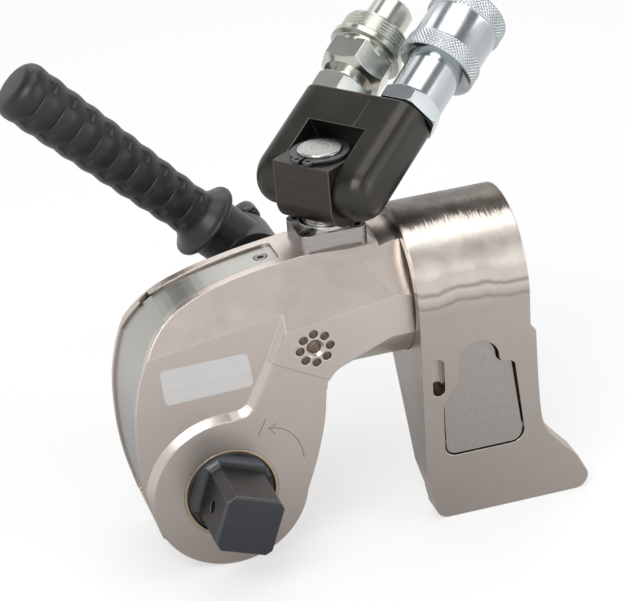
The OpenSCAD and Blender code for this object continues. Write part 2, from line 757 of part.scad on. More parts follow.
// Holding pawl at the back of the chamber
hold_x = head_r * hold_pin_x_share;
hold_z = barrel_z * hold_pin_z_share;
hold_tip = (wheel_r + pawl_nose_gap) * [cos(hold_nose_angle), sin(hold_nose_angle)];
module holding_pawl() color([0.5, 0.49, 0.47]) slab(hold_half) difference() {
    union() {
        translate([hold_x, hold_z]) circle(r = hold_boss_r, $fn = small_fn);
        polygon([[hold_x - hold_boss_r, hold_z], hold_tip + [-over, -over / 2], hold_tip + [over * 2, over],
                 [hold_x + hold_boss_r, hold_z]]);
    }
    translate([hold_x, hold_z]) circle(r = hold_pin_r + run_gap, $fn = small_fn);
    circle(r = wheel_r + pawl_nose_gap, $fn = round_fn);
}
module holding_pawl_pin() color([0.6, 0.6, 0.6]) translate([hold_x, 0, hold_z]) from_y(-chamber_half - head_wall + free_gap)
    cylinder(h = 2 * (chamber_half + head_wall - free_gap), r = hold_pin_r, $fn = small_fn);
module holding_pawl_spring() color([0.7, 0.7, 0.7]) translate([hold_x, 0, hold_z])
    from_y(hold_half + spring_wire / 2 + seat_gap) coil(hold_pin_r + spring_wire / 2 + run_gap, spring_wire / 2, 4, spring_wire * 0.8);

// Piston, rod and the closures of the cylinder
cap_inner = barrel_end - cap_w;
piston_x = cap_inner - seal_w - gland_lip - piston_back - piston_w;
rod_eye_x = lever_r * sin(lever_half_swing);
module piston() color([0.62, 0.62, 0.6]) on_barrel(piston_x) difference() {
    cylinder(h = piston_w, r = bore_r - run_gap, $fn = round_fn);
    translate([0, 0, -over]) cylinder(h = piston_w + 2 * over, r = rod_r / 2, $fn = small_fn);
    translate([0, 0, (piston_w - seal_w) / 2]) tube(bore_r + over, bore_r - seal_depth, seal_w);
    translate([0, 0, piston_w - nut_w]) cylinder(h = nut_w + over, r = nut_r + free_gap, $fn = small_fn);
}
module rod_nut() color([0.5, 0.5, 0.5]) on_barrel(piston_x + piston_w - nut_w) difference() {
    hexagon(2 * nut_r * cos(30), nut_w);
    translate([0, 0, -over]) cylinder(h = nut_w + 2 * over, r = rod_r / 2, $fn = small_fn);
}
module piston_seal() color([0.15, 0.15, 0.15]) on_barrel(piston_x + (piston_w - seal_w) / 2 + seat_gap)
    tube(bore_r - seat_gap, bore_r - seal_depth + seat_gap, seal_w - 2 * seat_gap);
module piston_rod() color([0.75, 0.75, 0.74]) difference() {
    union() {
        on_barrel(rod_eye_x + tongue_r) cylinder(h = piston_x - rod_eye_x - tongue_r, r = rod_r, $fn = round_fn);
        on_barrel(piston_x) cylinder(h = piston_w - seat_gap, r = rod_r / 2 - seat_gap, $fn = small_fn);
        slab(tongue_half - free_gap) {
            translate([rod_eye_x, barrel_z]) circle(r = tongue_r, $fn = small_fn);
            translate([rod_eye_x, barrel_z - rod_r * tongue_share]) square([tongue_r + over, 2 * rod_r * tongue_share]);
        }
    }
    slab(far) {
        for (s = [-1, 1]) translate([rod_eye_x, barrel_z + s * slot_clear]) circle(r = lever_pin_r + run_gap * 2, $fn = small_fn);
        translate([rod_eye_x, barrel_z]) square([2 * (lever_pin_r + run_gap * 2), 2 * slot_clear], center = true);
    }
}
module rod_gland() color([0.72, 0.6, 0.4]) on_barrel(bore_start) difference() {
    cylinder(h = gland_w, r = bore_r - seat_gap, $fn = round_fn);
    translate([0, 0, -over]) cylinder(h = gland_w + 2 * over, r = rod_r + run_gap, $fn = round_fn);
    translate([0, 0, (gland_w - seal_w) / 2]) cylinder(h = seal_w, r = rod_r + seal_depth, $fn = round_fn);
}
module rod_seal() color([0.15, 0.15, 0.15]) on_barrel(bore_start + (gland_w - seal_w) / 2 + seat_gap)
    tube(rod_r + seal_depth - seat_gap, rod_r + run_gap, seal_w - 2 * seat_gap);
module end_cap() color([0.6, 0.57, 0.54]) on_barrel(cap_inner) difference() {
    revolve([
        [0, -seal_w - gland_lip], [bore_r - seat_gap, -seal_w - gland_lip], [bore_r - seat_gap, -seal_w],
        [bore_r - seal_depth, -seal_w], [bore_r - seal_depth, 0], [cap_thread_r - seat_gap, 0],
        [cap_thread_r - seat_gap, cap_w - over], [cap_thread_r - over, cap_w], [0, cap_w]]);
    translate([0, 0, cap_w - cap_socket_depth]) hexagon(2 * cap_socket_r * cos(30), cap_socket_depth + over);
}
module end_cap_seal() color([0.15, 0.15, 0.15]) on_barrel(cap_inner - seal_w + seat_gap)
    tube(bore_r - seat_gap, bore_r - seal_depth + seat_gap, seal_w - 2 * seat_gap);

// Reaction arm
collar_end = barrel_end + 0.5;
foot_right = arm_left_foot + foot_w;
arm_side_share = [[0.32, 0.62], [0.22, 0.34], [0.12, 0.02], [0.02, -0.5]];
arm_front = concat(
    [[collar_start, barrel_z], [collar_start, -foot_drop * 0.3]],
    shift(arc(arm_corner, 180, 270, 8), [arm_left_foot + arm_corner - 2, -foot_drop + arm_corner]),
    shift(arc(arm_corner, 270, 360 + 35, 10), [foot_right - arm_corner, -foot_drop + arm_corner]),
    smooth([[foot_right - 5, -foot_drop * 0.48], [foot_right - 13, -foot_drop * 0.22],
            [foot_right - 19.4, foot_drop * 0.06], [foot_right - 21.6, foot_drop * 0.5],
            [foot_right - 22.6, barrel_z - collar_r * 0.56]], 5),
    [[collar_end, barrel_z - collar_r * 0.46], [collar_end, barrel_z]]
);
module arm_front_plane(inward) rotate([atan((collar_r - arm_front_half) / (barrel_z + foot_drop)), 0, 0])
    translate([-far, -far, -far]) cube([2 * far, far - collar_r + inward, 2 * far]);
arm_side = [
    [-collar_r, barrel_z], [-arm_front_half, -foot_drop], [arm_foot_back_y, -foot_drop],
    [arm_back_low_y + over, arm_back_low_z - over], [arm_back_low_y, arm_back_low_z],
    [arm_back_top_y, barrel_z - sqrt(collar_r * collar_r - arm_back_top_y * arm_back_top_y)],
    [arm_back_top_y, barrel_z]
];
function front_y(z) = -collar_r + (barrel_z - z) * (collar_r - arm_front_half) / (barrel_z + foot_drop);
face_lean = atan((collar_r - arm_front_half) / (barrel_z + foot_drop));
module at_face(z) translate([0, front_y(z), z]) rotate([face_lean, 0, 0]) children();
pocket_corners = [
    [pocket_left, pocket_low], [pocket_right, pocket_low], [pocket_right_top, pocket_high],
    [arch_x + arch_r, pocket_high], [arch_x + arch_r, arch_z], [arch_x - arch_r, arch_z],
    [arch_x - arch_r, pocket_shoulders[0]], [pocket_left, pocket_shoulders[1]]];
function shrunk(p, by) = let (n = len(p)) [
    for (i = [0:n - 1])
        let (a = p[i] - p[(i + n - 1) % n], b = p[(i + 1) % n] - p[i],
            u = [-a[1], a[0]] / norm(a), v = [-b[1], b[0]] / norm(b))
            p[i] + by * (u + v) / (1 + u * v)];
function rounded(p, r, steps) = let (n = len(p)) [
    for (i = [0:n - 1]) each turned([p[(i + n - 1) % n], p[i], p[(i + 1) % n]], r[i], steps)];
module pocket_shape(gap) translate([0, -lock_pin_z]) polygon(
    rounded(shrunk(pocket_corners, gap), pocket_rounds - gap * pocket_bends, 8));
module reaction_arm() color([0.6, 0.56, 0.52]) difference() {
    union() {
        on_barrel(collar_start) cylinder(h = collar_end - collar_start, r = collar_r, $fn = round_fn);
        intersection() {
            slab(far) polygon(arm_front);
            x_slab(0, far) polygon(arm_side);
        }
    }
    on_barrel(collar_start - over) cylinder(h = far, r = barrel_r - spline_depth + collar_gap, $fn = round_fn);
    on_barrel(collar_start - over)
        cylinder(h = spline_start - collar_start + over, r = barrel_r + collar_gap, $fn = round_fn);
    on_barrel(spline_start - over) linear_extrude(far) polygon(toothed(spline_count,
        barrel_r - spline_depth + spline_gap, barrel_r + spline_gap,
        spline_base_share + spline_gap_share, spline_top_share + spline_gap_share));
    at_face(lock_pin_z) slab_from(-over, pocket_depth + over) pocket_shape(0);
    translate([arch_x - nose_half - free_gap, -collar_r, nose_low - 2 * over])
        cube([2 * (nose_half + free_gap), collar_r, nose_high - nose_low + 3 * over]);
    translate([collar_start + over, front_y(lock_pin_z) + lock_pin_in, lock_pin_z]) rotate([0, 90, 0])
        cylinder(h = far, r = lock_pin_r + seat_gap, $fn = small_fn);
    translate([access_slot_x, -collar_r, access_slot_high]) rotate([-90, 0, 0])
        cylinder(h = access_slot_depth, r = access_slot_r, $fn = small_fn);
    translate([access_slot_x, -collar_r, access_slot_low]) rotate([-90, 0, 0])
        cylinder(h = access_hole_depth, r = access_slot_r, $fn = small_fn);
    translate([access_slot_x - access_slot_r, -collar_r, access_slot_low])
        cube([2 * access_slot_r, access_slot_depth, access_slot_high - access_slot_low]);
}
nose_in = lock_recess + lock_plate / 2 + sin(lock_lean) * (nose_high - lock_pin_z);
module lock_lever() color([0.55, 0.52, 0.49]) difference() {
    union() {
        at_face(lock_pin_z) rotate([-lock_lean, 0, 0]) slab_from(lock_recess, lock_plate) pocket_shape(lock_gap);
        translate([pocket_left + pocket_rounds[0], front_y(lock_pin_z) + lock_pin_in, lock_pin_z]) rotate([0, 90, 0])
            cylinder(h = pocket_right - pocket_left - 2 * pocket_rounds[0], r = lock_knuckle_r, $fn = small_fn);
        translate([arch_x - nose_half, front_y(nose_high) + nose_in, nose_low])
            cube([2 * nose_half, collar_r, nose_high - nose_low]);
    }
    on_barrel(collar_start) cylinder(h = far, r = barrel_r + nose_gap, $fn = round_fn);
    translate([collar_start, front_y(lock_pin_z) + lock_pin_in, lock_pin_z]) rotate([0, 90, 0])
        cylinder(h = far, r = lock_pin_r + run_gap, $fn = small_fn);
}
module lock_lever_pin() color([0.6, 0.6, 0.6])
    translate([collar_start + 2 * over, front_y(lock_pin_z) + lock_pin_in, lock_pin_z]) rotate([0, 90, 0])
        cylinder(h = collar_end - collar_start - 2 * over, r = lock_pin_r, $fn = small_fn);
module lock_lever_spring() color([0.7, 0.7, 0.7]) at_face(lock_pin_z) rotate([-lock_lean, 0, 0])
    translate([arch_x + nose_half * 2, lock_recess + lock_plate + spring_wire / 2 + seat_gap, arch_z / 2]) rotate([-90, 0, 0])
        coil(3, spring_wire / 2, 2, spring_wire * 0.8);

// Swivel base, post and block
module rounded_plate(w, d, r, h) linear_extrude(h) {
    square([w - 2 * r, d], center = true);
    square([w, d - 2 * r], center = true);
    for (x = [-1, 1]) for (y = [-1, 1]) translate([x * (w / 2 - r), y * (d / 2 - r)]) circle(r = r, $fn = small_fn);
}
module swivel_base() color([0.68, 0.65, 0.62]) translate([post_x, 0, top_z]) difference() {
    rounded_plate(base_len, base_w, base_corner, base_h);
    for (x = [-1, 1]) for (y = [-1, 1]) translate([x * base_screw_x, y * base_screw_y, -over]) {
        cylinder(h = base_h + 2 * over, r = screw_r + run_gap, $fn = small_fn);
        translate([0, 0, base_h - screw_head_h + over - seat_gap]) cylinder(h = screw_head_h + over, r = screw_head_r + free_gap, $fn = small_fn);
    }
    translate([0, 0, over * 2]) cylinder(h = base_h, r = spigot_r + seat_gap, $fn = small_fn);
}
module swivel_screws() color([0.2, 0.2, 0.2]) for (x = [-1, 1]) for (y = [-1, 1])
    translate([post_x + x * base_screw_x, y * base_screw_y, top_z + base_h - screw_head_h])
        cap_screw(screw_r - seat_gap, base_h - screw_head_h + screw_depth - free_gap);
clip_z = block_z + swivel_h + 0.4;
post_z = top_z + base_h;
module swivel_post() color([0.6, 0.6, 0.58]) translate([post_x, 0, post_z]) difference() {
    revolve([
        [0, -base_h + 2.5 * over], [spigot_r, -base_h + 2.5 * over], [spigot_r, 0], [post_flange_r, 0],
        [post_flange_r, post_flange_h], [post_r, post_flange_h],
        [post_r, clip_z - post_z - seat_gap], [clip_in_r - seat_gap, clip_z - post_z - seat_gap],
        [clip_in_r - seat_gap, clip_z - post_z + clip_w + seat_gap], [post_r, clip_z - post_z + clip_w + seat_gap],
        [post_r, clip_z - post_z + post_top - post_chamfer], [post_r - post_chamfer, clip_z - post_z + post_top],
        [0, clip_z - post_z + post_top]]);
    for (s = seal_places) translate([0, 0, s - post_z]) tube(post_r + over, post_r - seal_depth, seal_w);
}
seal_places = [block_z + 3, block_z + swivel_h - 3 - seal_w];
module post_seals() color([0.12, 0.12, 0.12]) for (s = seal_places) translate([post_x, 0, s + seat_gap])
    tube(post_r, post_r - seal_depth + seat_gap, seal_w - 2 * seat_gap);
module circlip() color([0.3, 0.3, 0.3]) at_post() translate([0, 0, clip_z]) rotate([0, 0, -90]) difference() {
    union() {
        cylinder(h = clip_w, r = clip_out_r, $fn = round_fn);
        for (s = [-1, 1]) rotate([0, 0, s * clip_ear_turn]) translate([clip_out_r, 0, 0]) cylinder(h = clip_w, r = clip_ear_r, $fn = small_fn);
    }
    translate([0, 0, -over]) cylinder(h = clip_w + 2 * over, r = clip_in_r, $fn = round_fn);
    translate([0, -over, -over]) cube([far, 2 * over, clip_w + 2 * over]);
    for (s = [-1, 1]) rotate([0, 0, s * clip_ear_turn]) translate([clip_out_r, 0, -over])
        cylinder(h = clip_w + 2 * over, r = clip_ear_r / 2, $fn = small_fn);
}
module swivel_block() color([0.3, 0.27, 0.25]) at_pins() difference() {
    translate([0, 0, block_z - pin_z]) intersection() {
        translate([-swivel_side / 2, -swivel_side / 2, 0]) cube([swivel_side, swivel_side, swivel_h]);
        union() {
            translate([-far / 2, -swivel_side / 2, swivel_round]) cube([far, swivel_side, swivel_h]);
            translate([-far / 2, -swivel_side / 2 + swivel_round, 0]) cube([far, swivel_side - 2 * swivel_round, swivel_h]);
            for (s = [-1, 1]) translate([-far / 2, s * (swivel_side / 2 - swivel_round), swivel_round])
                rotate([0, 90, 0]) cylinder(h = far, r = swivel_round, $fn = round_fn);
        }
    }
    translate([0, 0, -far / 2]) cylinder(h = far, r = post_r + run_gap, $fn = round_fn);
    for (s = [-1, 1]) translate([s * swivel_side / 2, 0, 0]) rotate([0, 90, 0])
        cylinder(h = 2 * cross_pin_in + 2 * free_gap, r = cross_pin_r + run_gap, center = true, $fn = round_fn);
}

// Manifold with the two cross pins
half_w = manifold_w / 2;
edge_steps = 8;
edge_out = half_w - edge_r;
edge_up = lobe_r - edge_r;
lobe_profile = concat(
    shift(arc(edge_r, -90, 0, edge_steps), [edge_up, -edge_out]),
    shift(arc(edge_r, 0, 90, edge_steps), [edge_up, edge_out]));
bar_section = concat([for (p = lobe_profile) [p[1], p[0]]], [for (p = reversed(lobe_profile)) [p[1], -p[0]]]);
module manifold() color([0.24, 0.22, 0.21]) at_manifold() difference() {
    union() {
        rotate([-90, 0, 0]) linear_extrude(manifold_reach) polygon(bar_section);
        rotate([0, 90, 0]) revolve(concat([[0, -half_w]], lobe_profile, [[0, half_w]]));
    }
    translate([-swivel_side / 2 - slot_gap, -far, -far / 2]) cube([swivel_side + 2 * slot_gap, far + slot_reach, far]);
    for (s = [-1, 1]) {
        translate([s * port_offset, manifold_reach - port_depth, 0]) rotate([-90, 0, 0])
            cylinder(h = far, r = port_r, $fn = small_fn);
        translate([s * swivel_side / 2, 0, 0]) rotate([0, 90, 0])
            cylinder(h = 2 * (cross_pin_out + over), r = cross_pin_r, center = true, $fn = round_fn);
    }
    translate([half_w, plug_y, plug_z]) rotate([0, 90, 0]) cylinder(h = 2 * plug_depth, r = plug_r, center = true, $fn = small_fn);
}
module cross_pins() color([0.6, 0.6, 0.6]) at_pins() for (s = [-1, 1]) mirror([s < 0 ? 1 : 0, 0, 0])
    translate([swivel_side / 2 - cross_pin_in, 0, 0]) rotate([0, 90, 0])
        cylinder(h = cross_pin_in + cross_pin_out + over / 2, r = cross_pin_r - seat_gap, $fn = round_fn);
module port_plug() color([0.15, 0.15, 0.15]) at_manifold() translate([half_w - plug_depth, plug_y, plug_z]) rotate([0, 90, 0])
    cylinder(h = plug_depth - over, r = plug_r - seat_gap, $fn = small_fn);

// Couplers
module male_adapter() color([0.72, 0.74, 0.76]) at_port(-1) {
    translate([0, 0, -port_depth + over]) cylinder(h = port_depth, r = port_r - seat_gap, $fn = small_fn);
    cylinder(h = over, r = adapter_neck_r + over, $fn = small_fn);
    translate([0, 0, over]) intersection() {
        hexagon(adapter_af, adapter_hex - over);
        revolve([[0, -over], [adapter_af / 2, -over], [adapter_af / 2 + 2 * over, over],
                 [adapter_af / 2 + 2 * over, adapter_hex - 3 * over], [adapter_af / 2 - over / 2, adapter_hex], [0, adapter_hex]]);
    }
    cylinder(h = male_start, r = adapter_neck_r, $fn = small_fn);
}
module male_coupler() color([0.72, 0.74, 0.76]) at_port(-1) difference() {
    union() {
        intersection() {
            translate([0, 0, male_start]) hexagon(male_af, male_hex_end - male_start);
            revolve([[0, male_start - over], [adapter_neck_r + 2 * over, male_start - over], [male_af / 2 + 2 * over, male_start + 3 * over],
                     [male_af / 2 + 2 * over, male_hex_end + over], [0, male_hex_end + over]]);
        }
        revolve([
            [0, male_start + over], [adapter_neck_r + over, male_start + over], [male_thread_r - over, male_hex_end - over],
            [male_thread_r - over, male_ring_start], [male_ring_r, male_ring_start + over / 2], [male_ring_r, male_ring_end - over / 2],
            [male_thread_r - over, male_ring_end], [male_thread_r - over, male_ring_end + over],
            [male_thread_r, male_ring_end + 2 * over], [male_thread_r, male_thread_end - over], [male_thread_r - over, male_thread_end],
            [probe_r, male_thread_end], [probe_r, male_end - over], [probe_r - over, male_end], [0, male_end]]);
    }
    translate([0, 0, male_thread_end]) cylinder(h = far, r = male_bore_r, $fn = small_fn);
}
module male_poppet() color([0.6, 0.6, 0.6]) at_port(-1) {
    translate([0, 0, male_end - poppet_travel - over]) cylinder(h = poppet_travel, r = male_bore_r - run_gap, $fn = small_fn);
    translate([0, 0, male_thread_end + poppet_travel + free_gap]) cylinder(h = male_end - male_thread_end - 2 * poppet_travel, r = poppet_r / 2, $fn = small_fn);
}
module female_coupler() color([0.72, 0.74, 0.76]) at_port(1) difference() {
    union() {
        translate([0, 0, -port_depth + over]) cylinder(h = port_depth, r = port_r - seat_gap, $fn = small_fn);
        cylinder(h = over, r = adapter_neck_r + over, $fn = small_fn);
        translate([0, 0, over]) intersection() {
            hexagon(female_af, female_hex - over);
            revolve([[0, -over], [female_af / 2, -over], [female_af / 2 + 2 * over, over],
                     [female_af / 2 + 2 * over, female_hex - 3 * over], [female_af / 2 - over, female_hex], [0, female_hex]]);
        }
        translate([0, 0, female_hex - over]) cylinder(h = female_body_end - female_hex + over, r = female_body_r, $fn = round_fn);
    }
    translate([0, 0, female_bore_start]) cylinder(h = far, r = female_bore_r, $fn = round_fn);
    translate([0, 0, sleeve_start + sleeve_lip + over / 2]) tube(far / 2, female_body_r - over / 2, sleeve_clip_w + 2 * seat_gap);
}
module female_sleeve() color([0.72, 0.74, 0.76]) at_port(1) difference() {
    revolve([
        [0, sleeve_start], [band_r - over, sleeve_start], [band_r, sleeve_start + over / 2],
        [band_r, sleeve_start + band_w - over / 2], [band_r - over / 2, sleeve_start + band_w], [sleeve_r, sleeve_start + band_w],
        [sleeve_r, sleeve_end - band_w], [band_r - over / 2, sleeve_end - band_w], [band_r, sleeve_end - band_w + over / 2],
        [band_r, sleeve_end - over], [band_r - over, sleeve_end], [0, sleeve_end]]);
    cylinder(h = far, r = female_body_r + run_gap, $fn = round_fn);
    translate([0, 0, sleeve_start + sleeve_lip]) cylinder(h = far, r = sleeve_step_r, $fn = round_fn);
    translate([0, 0, sleeve_start + sleeve_step]) cylinder(h = far, r = sleeve_bore_r, $fn = round_fn);
}
module sleeve_clip() color([0.3, 0.3, 0.3]) at_port(1) translate([0, 0, sleeve_start + sleeve_lip + over / 2 + seat_gap])
    tube(sleeve_clip_r, female_body_r - over / 2 + seat_gap, sleeve_clip_w);
module female_poppet() color([0.6, 0.6, 0.6]) at_port(1) {
    translate([0, 0, female_body_end - 2 * poppet_travel]) cylinder(h = poppet_travel, r = female_bore_r - run_gap, $fn = small_fn);
    translate([0, 0, female_bore_start + poppet_travel + free_gap])
        cylinder(h = female_body_end - female_bore_start - 3 * poppet_travel, r = poppet_r, $fn = small_fn);
}

// Positioning handle
elbow_front = grip_y - elbow_half;
elbow_back = grip_y + elbow_half;
module handle_hub() color([0.25, 0.25, 0.25]) difference() {
    union() {
        at_hub(flat_half) cylinder(h = hub_plate, r = hub_out_r, $fn = round_fn);
        at_hub(flat_half) cylinder(h = elbow_front + hub_plate - flat_half, r = hub_neck_r, $fn = round_fn);
    }
    at_hub(flat_half - over) cylinder(h = far, r = stud_r + run_gap, $fn = small_fn);
    index_pin_places() cylinder(h = index_pin_len + seat_gap, r = pattern_back_r - run_gap, $fn = small_fn);
}
module index_pin_places() for (i = [0, pattern_count / 2])
    at_hub(flat_half) rotate([0, 0, -pattern_turn - i * 360 / pattern_count])
        translate([pattern_pcd / 2, 0, -index_pin_out]) children();
module index_pins() color([0.6, 0.6, 0.6]) index_pin_places()
    cylinder(h = index_pin_len, r = pattern_back_r - run_gap - seat_gap, $fn = small_fn);
module handle_elbow() color([0.12, 0.12, 0.13]) difference() {
    union() {
        at_hub(elbow_front) cylinder(h = 2 * elbow_half - 3 * over, r = elbow_r, $fn = round_fn);
        at_hub(elbow_back - 3 * over) cylinder(h = 3 * over, r1 = elbow_r, r2 = elbow_r - 3 * over, $fn = round_fn);
        on_grip(0) cylinder(h = guard_at, r = elbow_neck_r, $fn = round_fn);
    }
    at_hub(elbow_front - over) cylinder(h = hub_plate + over, r = hub_neck_r + seat_gap, $fn = round_fn);
    at_hub(elbow_front - over) cylinder(h = far, r = stud_r + run_gap, $fn = small_fn);
    on_grip(core_start) cylinder(h = far, r = core_r + seat_gap, $fn = small_fn);
}
module handle_core() color([0.5, 0.5, 0.5]) on_grip(core_start + free_gap)
    cylinder(h = grip_reach - core_end - core_start - 2 * free_gap, r = core_r, $fn = small_fn);
function grip_r_at(s) = grip_neck_r + (grip_end_r - grip_neck_r) * (s - guard_at) / (grip_reach - guard_at);
grip_start = guard_at + seat_gap;
first_rib = grip_start + 2 * guard_w + 4;
module grip() color([0.1, 0.1, 0.11]) difference() {
    on_grip(0) revolve(concat(
        [[0, grip_start], [guard_r - guard_edge, grip_start], [guard_r, grip_start + guard_edge],
         [guard_r, grip_start + guard_w - guard_edge], [guard_r - guard_edge, grip_start + guard_w],
         [guard_small_r, grip_start + guard_w], [guard_small_r - guard_edge, grip_start + 2 * guard_w],
         [grip_neck_r, grip_start + 2 * guard_w]],
        [for (i = [0:rib_count - 1]) let (s = first_rib + i * rib_pitch) for (k = [
            [s, -rib_depth], [s + over / 2, 0], [s + rib_w, 0], [s + rib_w + over / 2, -rib_depth]])
            [grip_r_at(k[0]) + k[1], k[0]]],
        shift(arc(grip_round, 0, 90, 8), [grip_end_r - grip_round, grip_reach - grip_round]),
        [[0, grip_reach]]));
    on_grip(guard_at - over) cylinder(h = grip_reach - core_end - guard_at + over, r = core_r + seat_gap, $fn = small_fn);
}
star_points = [
    for (i = [0:round_fn - 1]) let (a = 360 * i / round_fn, k = (1 + cos(knob_lobes * a)) / 2)
        (knob_r - knob_lobe_r * (1 - pow(k, knob_round_share))) * [cos(a + knob_turn), sin(a + knob_turn)]
];
module star_knob() color([0.08, 0.08, 0.08]) at_hub(elbow_back + knob_gap) difference() {
    linear_extrude(knob_w) polygon(star_points);
    translate([0, 0, -over]) cylinder(h = knob_w - over, r = stud_r, $fn = small_fn);
}
module knob_stud() color([0.6, 0.6, 0.6]) at_hub(flat_half - stud_depth)
    cylinder(h = elbow_back + knob_gap + knob_w - 3 * over - flat_half + stud_depth, r = stud_r - seat_gap, $fn = small_fn);

housing();
shroud();
shroud_screws();
drive_bush_front();
drive_bush_back();
ratchet_wheel();
square_drive();
retaining_cap();
release_button();
button_spring();
drive_lever();
lever_pin();
drive_pawl();
drive_pawl_pin();
drive_pawl_spring();
holding_pawl();
holding_pawl_pin();
holding_pawl_spring();
piston();
piston_rod();
rod_nut();
piston_seal();
rod_gland();
rod_seal();
end_cap();
end_cap_seal();
reaction_arm();
lock_lever();
lock_lever_pin();
lock_lever_spring();
swivel_base();
swivel_screws();
swivel_post();
post_seals();
circlip();
swivel_block();
manifold();
cross_pins();
port_plug();
male_adapter();
male_coupler();
male_poppet();
female_coupler();
female_sleeve();
sleeve_clip();
female_poppet();
handle_hub();
index_pins();
handle_elbow();
handle_core();
grip();
star_knob();
knob_stud();
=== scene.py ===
"""Looks for the square-drive hydraulic torque wrench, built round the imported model."""
import json
import math

import bmesh
import bpy
from mathutils import Matrix, Vector


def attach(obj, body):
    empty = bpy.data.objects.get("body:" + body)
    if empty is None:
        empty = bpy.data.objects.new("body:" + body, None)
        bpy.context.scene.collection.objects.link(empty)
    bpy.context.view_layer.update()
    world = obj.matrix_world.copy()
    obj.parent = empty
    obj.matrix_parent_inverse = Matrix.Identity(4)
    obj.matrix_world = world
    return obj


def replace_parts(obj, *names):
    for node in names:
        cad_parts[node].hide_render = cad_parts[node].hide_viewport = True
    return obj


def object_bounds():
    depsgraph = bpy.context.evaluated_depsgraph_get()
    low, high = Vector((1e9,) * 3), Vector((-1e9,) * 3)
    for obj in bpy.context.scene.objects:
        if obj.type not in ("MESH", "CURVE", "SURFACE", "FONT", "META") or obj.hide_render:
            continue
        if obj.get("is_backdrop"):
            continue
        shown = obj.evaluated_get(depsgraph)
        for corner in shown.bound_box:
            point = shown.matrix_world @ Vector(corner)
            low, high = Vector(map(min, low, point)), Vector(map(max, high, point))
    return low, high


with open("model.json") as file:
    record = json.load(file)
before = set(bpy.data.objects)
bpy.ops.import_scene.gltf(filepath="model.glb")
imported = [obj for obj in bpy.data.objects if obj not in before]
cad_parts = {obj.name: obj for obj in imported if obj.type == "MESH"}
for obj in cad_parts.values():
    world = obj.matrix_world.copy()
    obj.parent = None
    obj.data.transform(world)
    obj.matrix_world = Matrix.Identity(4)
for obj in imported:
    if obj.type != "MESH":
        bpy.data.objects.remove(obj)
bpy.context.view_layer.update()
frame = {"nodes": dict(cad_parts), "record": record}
MM = 0.001
TURN = 2 * math.pi

# Places in millimetres. The origin lies on the drive axis, at the middle plane.
BARREL_Z = 69.0
PANEL_Y = -22.5
SURROUND_Y = -25.5
# Swivel post, cross pins of the manifold, and the manifold's own directions
POST_X = 57.3
PIN = Vector((POST_X, 0, 120.5))
PORT_TURN = math.radians(-53)
PORT_LIFT = math.radians(28)
PORT_SIDE = Vector((math.cos(PORT_TURN), math.sin(PORT_TURN), 0))
PORT_OUT = Vector((
    -math.sin(PORT_TURN) * math.cos(PORT_LIFT),
    math.cos(PORT_TURN) * math.cos(PORT_LIFT),
    math.sin(PORT_LIFT),
))
PORT_UP = PORT_SIDE.cross(PORT_OUT)
# Port faces, port axes and flat top of the manifold, all measured from the cross pins
PORT_REACH = 39.0
PORT_OFFSET = 18.5
MANIFOLD_TOP = 12.5
# Hub of the handle, and the direction in which the grip points
HUB = Vector((41.0824, 0, 59.409))
HUB_DEPTH = Vector((0, 1, 0))
GRIP_Y = 78.0
GRIP_ANGLE = math.radians(134)
GRIP_ALONG = Vector((math.cos(GRIP_ANGLE), 0, math.sin(GRIP_ANGLE)))
GRIP_UP = Vector((math.sin(GRIP_ANGLE), 0, -math.cos(GRIP_ANGLE)))


def port(side, along):
    """A point on a hose port's axis, measured from the port face."""
    return PIN + PORT_SIDE * side * PORT_OFFSET + PORT_OUT * (PORT_REACH + along)


# Materials
# Middle parts of a noise's range, which are spread over a whole mix
SOFT, SHARP = (0.3, 0.7), (0.35, 0.65)
FINE_GRAIN = 2600
SKIN_GRAIN = 1800
LATHE_RINGS = 1500
# How far the rounded normal leans from the face, as a cosine, where wear starts and is full
WEAR_STARTS, WEAR_FULL = 0.999, 0.9


def ranged(tree, value, low, high, start=0.0, end=1.0):
    """The value taken from the range start to end into the range low to high."""
    m = tree.nodes.new("ShaderNodeMapRange")
    for key, number in (("From Min", start), ("From Max", end), ("To Min", low), ("To Max", high)):
        m.inputs[key].default_value = number
    tree.links.new(value, m.inputs["Value"])
    return m.outputs["Result"]


